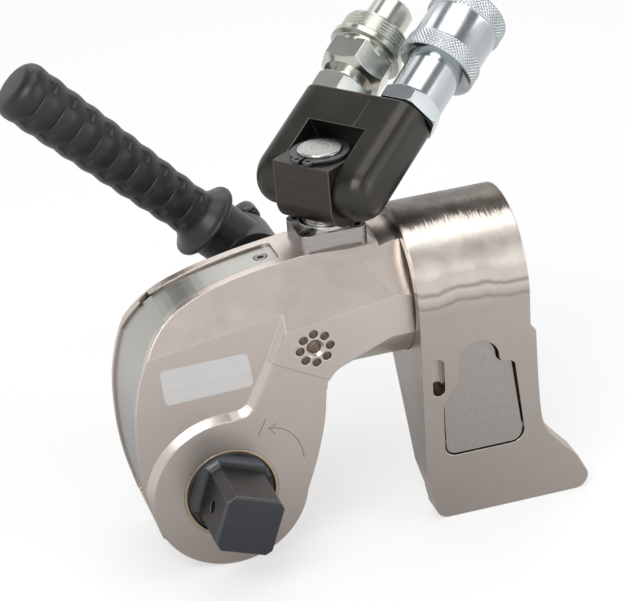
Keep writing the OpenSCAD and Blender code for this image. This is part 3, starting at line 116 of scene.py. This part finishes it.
class Shader:
    """One node material with the small set of building blocks used below."""

    def __init__(self, name):
        self.mat = bpy.data.materials.new(name)
        self.mat.use_nodes = True
        self.tree = self.mat.node_tree
        self.bsdf = self.tree.nodes["Principled BSDF"]
        self.coord = self.tree.nodes.new("ShaderNodeTexCoord").outputs["Object"]

    def node(self, kind, **values):
        n = self.tree.nodes.new(kind)
        for key, value in values.items():
            setattr(n, key, value)
        return n

    def link(self, a, b):
        self.tree.links.new(a, b)

    def put(self, value, socket):
        """Set a socket to a number or a colour, or link an output to it."""
        if isinstance(value, (int, float)):
            socket.default_value = value
        elif isinstance(value, tuple):
            socket.default_value = (*value, 1.0)
        elif value is not None:
            self.link(value, socket)

    def stretched(self, scale):
        m = self.node("ShaderNodeMapping")
        m.inputs["Scale"].default_value = scale
        self.link(self.coord, m.inputs["Vector"])
        return m.outputs["Vector"]

    def noise(self, scale, detail=4.0, stretch=None, rough=0.5):
        n = self.node("ShaderNodeTexNoise")
        n.inputs["Scale"].default_value = scale
        n.inputs["Detail"].default_value = detail
        n.inputs["Roughness"].default_value = rough
        self.link(self.stretched(stretch) if stretch else self.coord, n.inputs["Vector"])
        return n.outputs["Fac"]

    def fit(self, value, start, end, low, high):
        return ranged(self.tree, value, low, high, start, end)

    def mix(self, factor, a, b):
        m = self.node("ShaderNodeMix", data_type="RGBA")
        self.link(factor, m.inputs["Factor"])
        self.put(a, m.inputs["A"])
        self.put(b, m.inputs["B"])
        return m.outputs["Result"]

    def math(self, kind, a, b=None):
        m = self.node("ShaderNodeMath", operation=kind)
        self.put(a, m.inputs[0])
        self.put(b, m.inputs[1])
        return m.outputs["Value"]

    def split(self):
        s = self.node("ShaderNodeSeparateXYZ")
        self.link(self.coord, s.inputs["Vector"])
        return s.outputs["X"], s.outputs["Y"], s.outputs["Z"]

    def ramp(self, factor, stops):
        r = self.node("ShaderNodeValToRGB")
        self.link(factor, r.inputs["Fac"])
        points = r.color_ramp.elements
        while len(points) < len(stops):
            points.new(0.5)
        for point, (place, colour) in zip(points, stops):
            point.position = place
            point.color = (*colour, 1.0)
        return r.outputs["Color"]

    def edge(self, radius, most=0.5):
        """Normal with rounded edges, and a mask that grows to most where an edge is worn."""
        b = self.node("ShaderNodeBevel", samples=6)
        b.inputs["Radius"].default_value = radius
        g = self.node("ShaderNodeNewGeometry")
        d = self.node("ShaderNodeVectorMath", operation="DOT_PRODUCT")
        self.link(b.outputs["Normal"], d.inputs[0])
        self.link(g.outputs["Normal"], d.inputs[1])
        return b.outputs["Normal"], self.fit(d.outputs["Value"], WEAR_STARTS, WEAR_FULL, 0.0, most)

    def bump(self, height, strength, distance, normal):
        b = self.node("ShaderNodeBump")
        b.inputs["Strength"].default_value = strength
        b.inputs["Distance"].default_value = distance
        self.link(height, b.inputs["Height"])
        self.link(normal, b.inputs["Normal"])
        return b.outputs["Normal"]

    def finish(self, color, rough, normal, metallic):
        self.bsdf.inputs["Metallic"].default_value = metallic
        self.put(color, self.bsdf.inputs["Base Color"])
        self.put(rough, self.bsdf.inputs["Roughness"])
        self.put(normal, self.bsdf.inputs["Normal"])
        return self.mat


def plated(name, base, shade, rubbed, rough=0.36, grain=1.0, edge_r=0.0006, metallic=1.0):
    """Plated or blasted metal: cloudy colour, fine grain and lighter edges."""
    s = Shader(name)
    cloud = s.noise(26, 5)
    color = s.mix(s.fit(cloud, *SHARP, 0, 1), shade, base)
    normal, worn = s.edge(edge_r, 0.55)
    color = s.mix(worn, color, rubbed)
    fine = s.noise(FINE_GRAIN, 2)
    smudge = s.noise(70, 6, rough=0.65)
    roughness = s.fit(smudge, *SOFT, rough - 0.04, rough + 0.05)
    return s.finish(color, roughness, s.bump(fine, 0.12 * grain, 0.00004, normal), metallic)


def brushed(name, base, shade, rubbed, stretch, rough=0.3, streak=0.5, edge_r=0.0004, metallic=1.0):
    """Metal with fine lines, slow along one direction and quick across it."""
    s = Shader(name)
    lines = s.noise(1, 3, stretch, rough=0.7)
    color = s.mix(s.fit(lines, *SOFT, 0, 1), shade, base)
    normal, worn = s.edge(edge_r)
    color = s.mix(worn, color, rubbed)
    roughness = s.fit(lines, *SOFT, rough - 0.06, rough + 0.1)
    return s.finish(color, roughness, s.bump(lines, streak, 0.00003, normal), metallic)


def hammered_collar_painted_reflections(name):
    """Plated metal, hammered round the collar, with a painted dark reflection along its top and a painted
    bright reflection below.
    """
    s = Shader(name)
    _, y, z = s.split()
    from_top = s.math("ABSOLUTE", s.math("ARCTAN2", y, s.math("SUBTRACT", z, BARREL_Z * MM)))
    strokes = s.fit(s.noise(1, 4, (900, 70, 70), rough=0.7), 0.25, 0.75, -0.13, 0.13)
    drift = s.fit(s.noise(1, 3, (42, 14, 14)), *SOFT, -0.09, 0.09)
    upper = s.fit(from_top, 0.5, 0.7, 1, 0)
    place = s.math("ADD", s.math("ADD", from_top, drift), s.math("MULTIPLY", strokes, upper))
    # Painted reflections: from the top down, a dark band and a bright band, then lighter and darker bands
    # into the plated colour
    painted_dark_reflection, streak, painted_bright_reflection = (0.026, 0.023, 0.019), (0.10, 0.088, 0.076), (0.86, 0.80, 0.73)
    pale, wave, plain = (0.62, 0.565, 0.515), (0.29, 0.255, 0.23), (0.48, 0.43, 0.395)
    bands_end = 1.7
    color = s.ramp(s.math("DIVIDE", place, bands_end), (
        (0.0, streak), (0.10, painted_dark_reflection), (0.215, painted_dark_reflection), (0.245, streak), (0.27, pale), (0.34, painted_bright_reflection),
        (0.62, painted_bright_reflection), (0.67, pale), (0.74, pale), (0.765, wave), (0.79, pale), (0.84, plain),
        (0.865, wave), (0.89, plain), (0.94, plain), (1.0, plain)))
    tint = s.fit(s.noise(150, 5, rough=0.6), *SHARP, 0, 0.22)
    color = s.mix(tint, color, (0.42, 0.35, 0.29))
    cloud = s.fit(s.noise(24, 5), *SHARP, 0, 0.25)
    color = s.mix(cloud, color, (0.43, 0.38, 0.345))
    normal, worn = s.edge(0.0006)
    color = s.mix(worn, color, (0.74, 0.69, 0.64))
    hammered = s.fit(from_top, 1.2, 1.55, 1, 0)
    dents = s.math("ADD", s.noise(430, 3), s.noise(1, 4, (900, 110, 110), rough=0.6))
    fine = s.math("MULTIPLY", s.noise(FINE_GRAIN, 2), 0.12)
    height = s.math("ADD", fine, s.math("MULTIPLY", dents, s.math("MULTIPLY", hammered, 0.9)))
    roughness = s.fit(s.noise(90, 5), *SOFT, 0.28, 0.38)
    return s.finish(color, roughness, s.bump(height, 0.3, 0.00012, normal), 1.0)


def turned(name, base, shade, rubbed, centre, rough=0.2):
    """Metal faced on a lathe, with fine rings about an upright axis."""
    s = Shader(name)
    x, y, _ = s.split()
    across = s.math("POWER", s.math("SUBTRACT", x, centre[0] * MM), 2)
    away = s.math("POWER", s.math("SUBTRACT", y, centre[1] * MM), 2)
    rings = s.node("ShaderNodeTexNoise", noise_dimensions="1D")
    rings.inputs["Scale"].default_value = LATHE_RINGS
    s.link(s.math("SQRT", s.math("ADD", across, away)), rings.inputs["W"])
    lines = rings.outputs["Fac"]
    color = s.mix(s.fit(lines, *SOFT, 0, 1), shade, base)
    normal, worn = s.edge(0.0005)
    color = s.mix(worn, color, rubbed)
    roughness = s.fit(lines, *SOFT, rough - 0.05, rough + 0.08)
    return s.finish(color, roughness, s.bump(lines, 0.4, 0.00003, normal), 1.0)


def moulded(name, base, shade, rough, grain):
    """Moulded plastic or rubber with a fine skin."""
    s = Shader(name)
    fine = s.noise(SKIN_GRAIN, 3)
    cloud = s.noise(40, 4)
    color = s.mix(s.fit(cloud, *SHARP, 0, 1), shade, base)
    normal, worn = s.edge(0.0008, 0.25)
    color = s.mix(worn, color, tuple(min(1, 2.2 * c + 0.01) for c in base))
    roughness = s.fit(fine, *SOFT, rough - 0.05, rough + 0.08)
    return s.finish(color, roughness, s.bump(fine, grain, 0.00006, normal), 0.0)


# A recipe and its values: base colour, shade, rubbed edge, then what that recipe asks for
RECIPES = {
    "satin_nickel": (plated, (0.60, 0.535, 0.49), (0.575, 0.51, 0.465), (0.82, 0.77, 0.72), 0.33),
    # The collar: hammered wear, with painted dark and bright reflection bands
    "worn_nickel": (hammered_collar_painted_reflections,),
    "brushed_strip": (brushed, (0.50, 0.495, 0.465), (0.39, 0.385, 0.36), (0.8, 0.79, 0.76),
                      (30, 2600, 30), 0.34),
    "brushed_plate": (brushed, (0.44, 0.405, 0.38), (0.36, 0.33, 0.31), (0.85, 0.82, 0.78),
                      (1900, 40, 260), 0.33, 0.35),
    "zinc_screw": (plated, (0.30, 0.28, 0.26), (0.2, 0.19, 0.18), (0.6, 0.58, 0.55), 0.35),
    "bronze_bush": (plated, (0.60, 0.475, 0.33), (0.5, 0.39, 0.27), (0.85, 0.74, 0.58), 0.3),
    "black_oxide": (plated, (0.072, 0.074, 0.080), (0.058, 0.060, 0.066), (0.26, 0.265, 0.275),
                    0.36, 1.6, 0.0006, 0.75),
    "tool_steel": (plated, (0.32, 0.31, 0.30), (0.22, 0.21, 0.2), (0.5, 0.49, 0.47), 0.32),
    "ground_steel": (brushed, (0.55, 0.54, 0.53), (0.4, 0.39, 0.38), (0.8, 0.8, 0.8),
                     (900, 900, 60), 0.25, 0.3),
    "spring_steel": (plated, (0.5, 0.5, 0.5), (0.38, 0.38, 0.38), (0.7, 0.7, 0.7), 0.28),
    "seal_rubber": (moulded, (0.012, 0.012, 0.012), (0.008, 0.008, 0.008), 0.5, 0.2),
    "bronze_black": (plated, (0.060, 0.056, 0.049), (0.048, 0.045, 0.040), (0.24, 0.22, 0.20),
                     0.33, 1.2, 0.0009, 0.85),
    "machined_black": (brushed, (0.068, 0.060, 0.053), (0.046, 0.041, 0.037), (0.26, 0.235, 0.21),
                       (60, 60, 1700), 0.36, 0.6, 0.0009, 0.85),
    "base_steel": (brushed, (0.42, 0.395, 0.385), (0.34, 0.32, 0.31), (0.75, 0.72, 0.68),
                   (60, 900, 900), 0.3, 0.25),
    "turned_post": (turned, (0.60, 0.59, 0.57), (0.42, 0.41, 0.39), (0.85, 0.84, 0.82), (POST_X, 0)),
    "zinc_coupler": (plated, (0.58, 0.615, 0.635), (0.43, 0.465, 0.48), (0.92, 0.94, 0.95),
                     0.2, 0.8, 0.0004),
    "zinc_yellow": (plated, (0.66, 0.67, 0.62), (0.49, 0.50, 0.445), (0.92, 0.93, 0.90),
                    0.22, 0.8, 0.0004),
    "grip_rubber": (moulded, (0.012, 0.0125, 0.013), (0.008, 0.0085, 0.009), 0.38, 0.3),
    "black_plastic": (moulded, (0.010, 0.010, 0.011), (0.007, 0.007, 0.008), 0.2, 0.08),
    "black_coat": (moulded, (0.010, 0.0105, 0.011), (0.007, 0.0075, 0.008), 0.38, 0.15),
    "foil": (brushed, (0.66, 0.65, 0.64), (0.61, 0.60, 0.59), (0.8, 0.8, 0.8),
             (8, 900, 900), 0.38, 0.08, 0.0001, 0.55),
    "etched": (plated, (0.33, 0.285, 0.255), (0.29, 0.25, 0.225), (0.4, 0.36, 0.32), 0.5),
    "scribed": (plated, (0.16, 0.155, 0.145), (0.13, 0.125, 0.12), (0.3, 0.29, 0.28), 0.5),
}
LOOKS = {name: recipe(name, *values) for name, (recipe, *values) in RECIPES.items()}
# Nodes whose finish differs from the rest of their slot
FINISH_OF = {
    "lock_lever": "brushed_plate",
    "swivel_block": "machined_black",
    "swivel_post": "turned_post",
    "male_adapter": "zinc_yellow",
    "male_coupler": "zinc_yellow",
}
for part in frame["record"]["subparts"]:
    mesh = frame["nodes"][part["node"]].data
    mesh.materials.clear()
    mesh.materials.append(LOOKS[FINISH_OF.get(part["node"], part["material_slot"])])


# Mesh helpers
def make(name, bm, look, body, angle):
    """Turn a bmesh into a piece that rides on a body, smooth but for edges sharper than angle."""
    bmesh.ops.remove_doubles(bm, verts=bm.verts, dist=1e-6)
    bmesh.ops.recalc_face_normals(bm, faces=bm.faces)
    for f in bm.faces:
        f.smooth = True
    for e in bm.edges:
        e.smooth = len(e.link_faces) == 2 and e.calc_face_angle(math.pi) < math.radians(angle)
    mesh = bpy.data.meshes.new(name)
    bm.to_mesh(mesh)
    bm.free()
    obj = bpy.data.objects.new(name, mesh)
    bpy.context.scene.collection.objects.link(obj)
    obj.data.materials.append(LOOKS[look])
    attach(obj, body)
    return obj


def grid(name, point, rows, columns, look, body, angle, close_ends=True):
    """A closed skin from point(row, column), wrapped round in columns."""
    bm = bmesh.new()
    skin = [[bm.verts.new(point(r, c) * MM) for c in range(columns)] for r in range(rows)]
    for r in range(rows - 1):
        for c in range(columns):
            d = (c + 1) % columns
            bm.faces.new((skin[r][c], skin[r][d], skin[r + 1][d], skin[r + 1][c]))
    if close_ends:
        bm.faces.new(skin[0][::-1])
        bm.faces.new(skin[-1])
    return make(name, bm, look, body, angle)


def slab(name, outlines, lift, look, body):
    """Thin plates from closed outlines, all thickened by lift."""
    bm = bmesh.new()
    faces = [bm.faces.new([bm.verts.new(p * MM) for p in outline]) for outline in outlines]
    top = bmesh.ops.extrude_face_region(bm, geom=faces)
    moved = [v for v in top["geom"] if isinstance(v, bmesh.types.BMVert)]
    bmesh.ops.translate(bm, verts=moved, vec=lift * MM)
    return make(name, bm, look, body, 30)


def ease(t):
    """Smooth step from 0 to 1."""
    t = min(1.0, max(0.0, t))
    return t * t * (3 - 2 * t)


def off_whole(value):
    """Distance of a value from the nearest whole number."""
    return min(value % 1.0, 1 - value % 1.0)


# Grip
GROOVES, GROOVE_FIRST, GROOVE_PITCH = 9, 40.3, 10.6
RIBS_START, RIBS_END, RIBS_STEP = 34.4, 128.0, 0.5
RIBS_RADIUS, RIBS_TAPER = 10.95, 0.0272
TIP_START, TIP_RADIUS, TIP_ROUND, TIP_STEPS = 130.0, 13.5, 6.0, 8
GRIP_COLUMNS = 160


def grip_profile():
    """Stations along the grip: place, radius, and whether the finger grooves cross it."""
    rows = [(24.02, 0.0, 0), (24.02, 15.2, 0), (24.3, 16.3, 0), (25.0, 17.1, 0), (26.0, 17.5, 0),
            (27.0, 17.3, 0), (27.6, 16.6, 0), (28.2, 15.2, 0), (29.2, 14.3, 0), (30.6, 13.2, 0),
            (31.9, 12.0, 0), (33.2, 11.3, 0)]
    s = RIBS_START
    while s < RIBS_END:
        rows.append((s, RIBS_RADIUS + (s - RIBS_START) * RIBS_TAPER, 1))
        s += RIBS_STEP
    for k in range(TIP_STEPS + 1):
        a = math.radians(90 * k / TIP_STEPS)
        rows.append((TIP_START + TIP_ROUND * math.sin(a), TIP_RADIUS - TIP_ROUND * (1 - math.cos(a)), 0))
    rows.append((TIP_START + TIP_ROUND, 0.02, 0))
    return rows


def grip_relief(s, turn):
    """How far the ribbed skin stands proud: humps, a fine groove on each, and four lanes of pockets."""
    k = min(GROOVES - 1, max(0, round((s - GROOVE_FIRST) / GROOVE_PITCH)))
    near = s - (GROOVE_FIRST + GROOVE_PITCH * k)
    hump = 0.5 + 0.5 * math.cos(TURN * min(0.5, abs(near) / GROOVE_PITCH))
    lane = abs((math.degrees(turn) + 82) % 90 - 45)
    notch = ease((12.5 - lane) / 2.5)
    groove = ease((0.62 - abs(near)) / 0.55)
    pocket = notch * ease((2.5 - abs(near + 1.2)) / 0.6)
    return 0.15 - 0.55 * hump - 0.55 * groove - 0.75 * max(pocket - groove, 0)


def build_grip():
    """Rubber grip with its flange, finger grooves and rounded tip."""
    rows = grip_profile()

    def point(r, c):
        s, radius, ribbed = rows[r]
        turn = TURN * c / GRIP_COLUMNS
        if ribbed:
            radius += grip_relief(s, turn)
        centre = HUB + HUB_DEPTH * GRIP_Y + GRIP_ALONG * s
        return centre + (GRIP_UP * math.cos(turn) + HUB_DEPTH * math.sin(turn)) * radius

    return grid("grip_rubber", point, len(rows), GRIP_COLUMNS, "grip_rubber", "housing", 60)


# Couplers
def collar(name, rows, columns, side, radius_at, look, body):
    """A turned piece on a port's axis from rows of place, radius and whether it's patterned."""
    along = PORT_OUT.normalized()
    across = along.orthogonal().normalized()
    other = along.cross(across)

    def point(r, c):
        s, radius, patterned = rows[r]
        turn = TURN * c / columns
        if patterned:
            radius = radius_at(s, turn, radius)
        return port(side, s) + (across * math.cos(turn) + other * math.sin(turn)) * radius

    return grid(name, point, len(rows), columns, look, body, 75, close_ends=False)


def build_sleeve():
    """Turned collar with two diamond-knurled bands and its bore left open."""
    start, end, bore_low, bore = 28.0, 61.0, 12.05, 14.2
    band_r, band_steps = 16.7, 28
    lines, proud, depth, sharp = 60, 0.27, 0.68, 2.9

    def band(a, b):
        return [(a + (b - a) * i / band_steps, band_r, 1) for i in range(band_steps + 1)]

    def knurl(s, turn, radius):
        a = lines * turn / TURN
        b = (s - start) / (TURN * radius / lines)
        return radius + proud - depth * max(0.0, 1 - sharp * min(off_whole(a + b), off_whole(a - b)))

    rows = [(start, bore_low, 0), (start, 15.9, 0), (start + 0.45, 16.55, 0)]
    rows += band(start + 0.7, start + 7.9)
    rows += [(start + 8.2, 16.5, 0), (start + 8.5, 15.9, 0), (start + 8.9, 15.85, 0),
             (start + 16, 15.9, 0), (end - 8.9, 15.85, 0), (end - 8.5, 15.9, 0), (end - 8.2, 16.5, 0)]
    rows += band(end - 7.9, end - 1.0)
    rows += [(end - 0.6, 16.5, 0), (end, 15.9, 0), (end, 14.9, 0), (end - 0.7, 14.25, 0),
             (start + 8, bore, 0), (start + 8, 13.9, 0), (start + 4, 13.9, 0), (start + 4, bore_low, 0),
             (start, bore_low, 0)]
    return collar("sleeve_knurled", rows, 480, 1, knurl, "zinc_coupler", "sleeve")


def build_thread():
    """Screw thread round the male coupler's shoulder."""
    start, end, root, pitch = 33.3, 41.1, 14.84, 1.55
    height, sharp, run_out, sunk, steps = 0.52, 3.2, 0.9, 0.2, 72

    def crest(s, turn, radius):
        fade = ease((s - start) / run_out) * ease((end - s) / run_out)
        return radius + height * fade * min(1.0, sharp * off_whole(s / pitch - turn / TURN))

    rows = [(start, root - sunk, 0)]
    rows += [(start + (end - start) * i / steps, root, 1) for i in range(steps + 1)]
    rows += [(end, root - sunk, 0), (start, root - sunk, 0)]
    return collar("male_thread", rows, 144, -1, crest, "zinc_yellow", "manifold")


# Star knob
def build_knob():
    """Six rounded lobes with a crowned top, moulded over the stud."""
    back, lobes, outer, dip, middle = 92.3, 6, 16.0, 4.4, 9.5
    columns = 144
    # Shares of the radius where the lobes start and are full, and the span they grow over
    plain, lobed, growth = 0.42, 0.6, 0.2
    rows = [(0.0, 0.0), (0.0, 0.86), (0.35, 0.955), (1.4, 0.995), (4.0, 1.0), (8.6, 1.0), (10.4, 0.985),
            (11.4, 0.94), (11.9, 0.86), (12.0, 0.74), (11.85, 0.62), (11.8, 0.5), (11.4, 0.42), (11.4, 0.0)]

    def point(r, c):
        lift, share = rows[r]
        turn = TURN * c / columns
        wave = (1 + math.cos(lobes * (turn - math.radians(6)))) / 2
        outline = outer - dip * (1 - wave ** 0.6)
        if share > lobed:
            radius = share * outline
        elif share > plain:
            radius = share * (middle + (outline - middle) * (share - plain) / growth)
        else:
            radius = share * outer
        spoke = Vector((math.cos(turn), 0, -math.sin(turn)))
        return HUB + spoke * max(radius, 0.01) + HUB_DEPTH * (back + lift)

    return grid("knob_moulded", point, len(rows), columns, "black_plastic", "knob", 50)


# Flat marks: the gap under a line keeps it off the face it lies on
LINE_GAP, LINE_THICK = 0.004, 0.02
PLATE_THICK = 0.16


def rounded(corners, radius):
    """Outline of a plate whose corners are eased off."""
    outline = []
    for i, corner in enumerate(corners):
        a = corner + (corners[i - 1] - corner).normalized() * radius
        b = corner + (corners[(i + 1) % len(corners)] - corner).normalized() * radius
        for t in (k / 8 for k in range(9)):
            outline.append(a * (1 - t) ** 2 + corner * 2 * t * (1 - t) + b * t * t)
    return outline


def stroke(points, width, normal):
    """Outline of a line of even width through the points."""
    left, right = [], []
    for i, p in enumerate(points):
        ahead = (points[min(i + 1, len(points) - 1)] - points[max(i - 1, 0)]).normalized()
        side = ahead.cross(normal).normalized() * width / 2
        left.append(p + side)
        right.append(p - side)
    return left + right[::-1]


def on_surround(x, z):
    return Vector((x, SURROUND_Y - LINE_GAP, z))


def build_marks():
    """Bare plate on the panel, turning arrow by the drive, and the line between the ports."""
    toward = Vector((0, -1, 0))
    corners = [Vector((x, PANEL_Y, z)) for x, z in ((-24.1, 61.4), (13.2, 61.9), (14.7, 46.4), (-23.0, 45.2))]
    slab("bare_plate", [rounded(corners, 2.6)], toward * PLATE_THICK, "foil", "housing")
    bow = [on_surround(32.4 - 14.0 * (1 - math.cos(a)), 9.5 + 17.2 * math.sin(a))
           for a in (math.radians(90 * k / 16) for k in range(17))]
    lines = [bow, [on_surround(17.6, 31.4), on_surround(13.6, 24.2)],
             [on_surround(21.9, 28.3), on_surround(18.4, 26.7), on_surround(21.2, 23.4)]]
    slab("turn_arrow", [stroke(p, 0.42, toward) for p in lines], toward * LINE_THICK,
         "etched", "housing")
    ends = [PIN + PORT_SIDE * 7.9 + PORT_OUT * s + PORT_UP * (MANIFOLD_TOP + LINE_GAP)
            for s in (21.5, 36.4)]
    slab("port_line", [stroke(ends, 0.28, PORT_UP)], PORT_UP * LINE_THICK,
         "scribed", "manifold")


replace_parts(build_grip(), "grip")
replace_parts(build_sleeve(), "female_sleeve")
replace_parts(build_knob(), "star_knob")
build_thread()
build_marks()


# Stage
# Rays that show the stage: seen directly, mirrored, and through clear pieces
RAYS = ("Is Camera Ray", "Is Glossy Ray", "Is Transmission Ray")
FLOOR_SIZE, FLOOR_GAP, FLOOR_GREY = 12, 0.0002, 0.95
SKY_LIGHT = 0.42
LAMP_AIM = Vector((0.06, 0, 0.05))
# The camera that was fitted to 40 points of the photograph
PHOTO_WIDTH = 625
FOCAL_PIXELS = 2568.03
CAMERA_PLACE = (-0.19539543, -0.93778232, 0.53808443)
CAMERA_RIGHT = Vector((0.95427235, -0.28816045, -0.07954765))
CAMERA_DOWN = Vector((-0.1950303, -0.39846075, -0.89620992))
CAMERA_AHEAD = Vector((0.22655563, 0.87074255, -0.4364401))


def seen_factor(tree, kinds):
    """1 for the named kinds of ray, 0 for the light that falls on the object."""
    path = tree.nodes.new("ShaderNodeLightPath")
    total = path.outputs[kinds[0]]
    for kind in kinds[1:]:
        both = tree.nodes.new("ShaderNodeMath")
        both.operation = "MAXIMUM"
        tree.links.new(total, both.inputs[0])
        tree.links.new(path.outputs[kind], both.inputs[1])
        total = both.outputs[0]
    return total


def mixed(tree, factor, a, b):
    """The number a where factor is 0 and b where it's 1; either may be an output."""
    m = tree.nodes.new("ShaderNodeMix")
    tree.links.new(factor, m.inputs["Factor"])
    for value, socket in ((a, m.inputs["A"]), (b, m.inputs["B"])):
        if isinstance(value, float):
            socket.default_value = value
        else:
            tree.links.new(value, socket)
    return m.outputs["Result"]


def floor_material():
    """White to the camera; what the metal mirrors is dimmer near the part, a painted shadow."""
    m = bpy.data.materials.new("floor_white")
    m.use_nodes = True
    tree = m.node_tree
    tree.nodes.remove(tree.nodes["Principled BSDF"])
    out = tree.nodes["Material Output"]
    diffuse = tree.nodes.new("ShaderNodeBsdfDiffuse")
    diffuse.inputs["Color"].default_value = (FLOOR_GREY, FLOOR_GREY, FLOOR_GREY, 1)
    glow = tree.nodes.new("ShaderNodeEmission")
    glow.inputs["Color"].default_value = (1, 1, 1, 1)
    mix = tree.nodes.new("ShaderNodeMixShader")
    place = tree.nodes.new("ShaderNodeVectorMath")
    place.operation = "LENGTH"
    tree.links.new(tree.nodes.new("ShaderNodeTexCoord").outputs["Object"], place.inputs[0])
    # Painted shadow: in mirrors the floor glows at 0.35 close to the part, rising to full between 4 and 30 cm
    # out
    painted_shadow_near_part = ranged(tree, place.outputs["Value"], 0.35, 1.0, 0.04, 0.30)
    glossy = seen_factor(tree, RAYS[1:2])
    tree.links.new(mixed(tree, glossy, 1.0, painted_shadow_near_part), glow.inputs["Strength"])
    seen = ranged(tree, seen_factor(tree, RAYS), 0.0, 0.6)
    tree.links.new(mixed(tree, glossy, seen, 0.85), mix.inputs["Fac"])
    tree.links.new(diffuse.outputs[0], mix.inputs[1])
    tree.links.new(glow.outputs[0], mix.inputs[2])
    tree.links.new(mix.outputs[0], out.inputs["Surface"])
    return m


def stage():
    """Pale floor just under the part, and a white studio whose ceiling mirrors darker."""
    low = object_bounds()[0][2]
    bpy.ops.mesh.primitive_plane_add(size=FLOOR_SIZE, location=(0, 0, low - FLOOR_GAP))
    floor = bpy.context.object
    floor.name = "floor"
    floor.data.materials.append(floor_material())
    floor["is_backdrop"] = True

    world = bpy.data.worlds.new("studio")
    bpy.context.scene.world = world
    world.use_nodes = True
    tree = world.node_tree
    back = tree.nodes["Background"]
    back.inputs["Color"].default_value = (1, 1, 1, 1)
    up = tree.nodes.new("ShaderNodeSeparateXYZ")
    tree.links.new(tree.nodes.new("ShaderNodeTexCoord").outputs["Generated"], up.inputs["Vector"])
    ceiling = ranged(tree, up.outputs["Z"], 1.0, 0.3, 0.3, 0.65)
    lit = ranged(tree, seen_factor(tree, RAYS), SKY_LIGHT, 1.0)
    tree.links.new(mixed(tree, seen_factor(tree, RAYS[1:2]), lit, ceiling), back.inputs["Strength"])


def lamp(name, place, size, energy):
    """Soft rectangular lamp that looks at the part."""
    data = bpy.data.lights.new(name, "AREA")
    data.shape = "RECTANGLE"
    data.size, data.size_y = size
    data.energy = energy
    obj = bpy.data.objects.new(name, data)
    bpy.context.scene.collection.objects.link(obj)
    obj.location = place
    obj.rotation_euler = (LAMP_AIM - Vector(place)).to_track_quat("-Z", "Y").to_euler()


def camera():
    data = bpy.data.cameras.new("camera")
    data.sensor_fit = "HORIZONTAL"
    data.sensor_width = 36
    data.lens = FOCAL_PIXELS * data.sensor_width / PHOTO_WIDTH
    data.clip_end = 50
    obj = bpy.data.objects.new("camera", data)
    bpy.context.scene.collection.objects.link(obj)
    turn = Matrix((CAMERA_RIGHT, -CAMERA_DOWN, -CAMERA_AHEAD)).transposed().to_4x4()
    obj.matrix_world = Matrix.Translation(CAMERA_PLACE) @ turn
    bpy.context.scene.camera = obj


stage()
camera()
lamp("key", (-0.55, -0.75, 1.15), (0.9, 0.7), 11)
lamp("top", (0.25, 0.05, 1.35), (1.0, 0.7), 5)
lamp("fill", (0.95, -0.85, 0.45), (0.5, 0.9), 3)
lamp("back", (0.25, 0.95, 0.95), (1.0, 0.5), 3)
bpy.context.scene.view_settings.view_transform = "Standard"
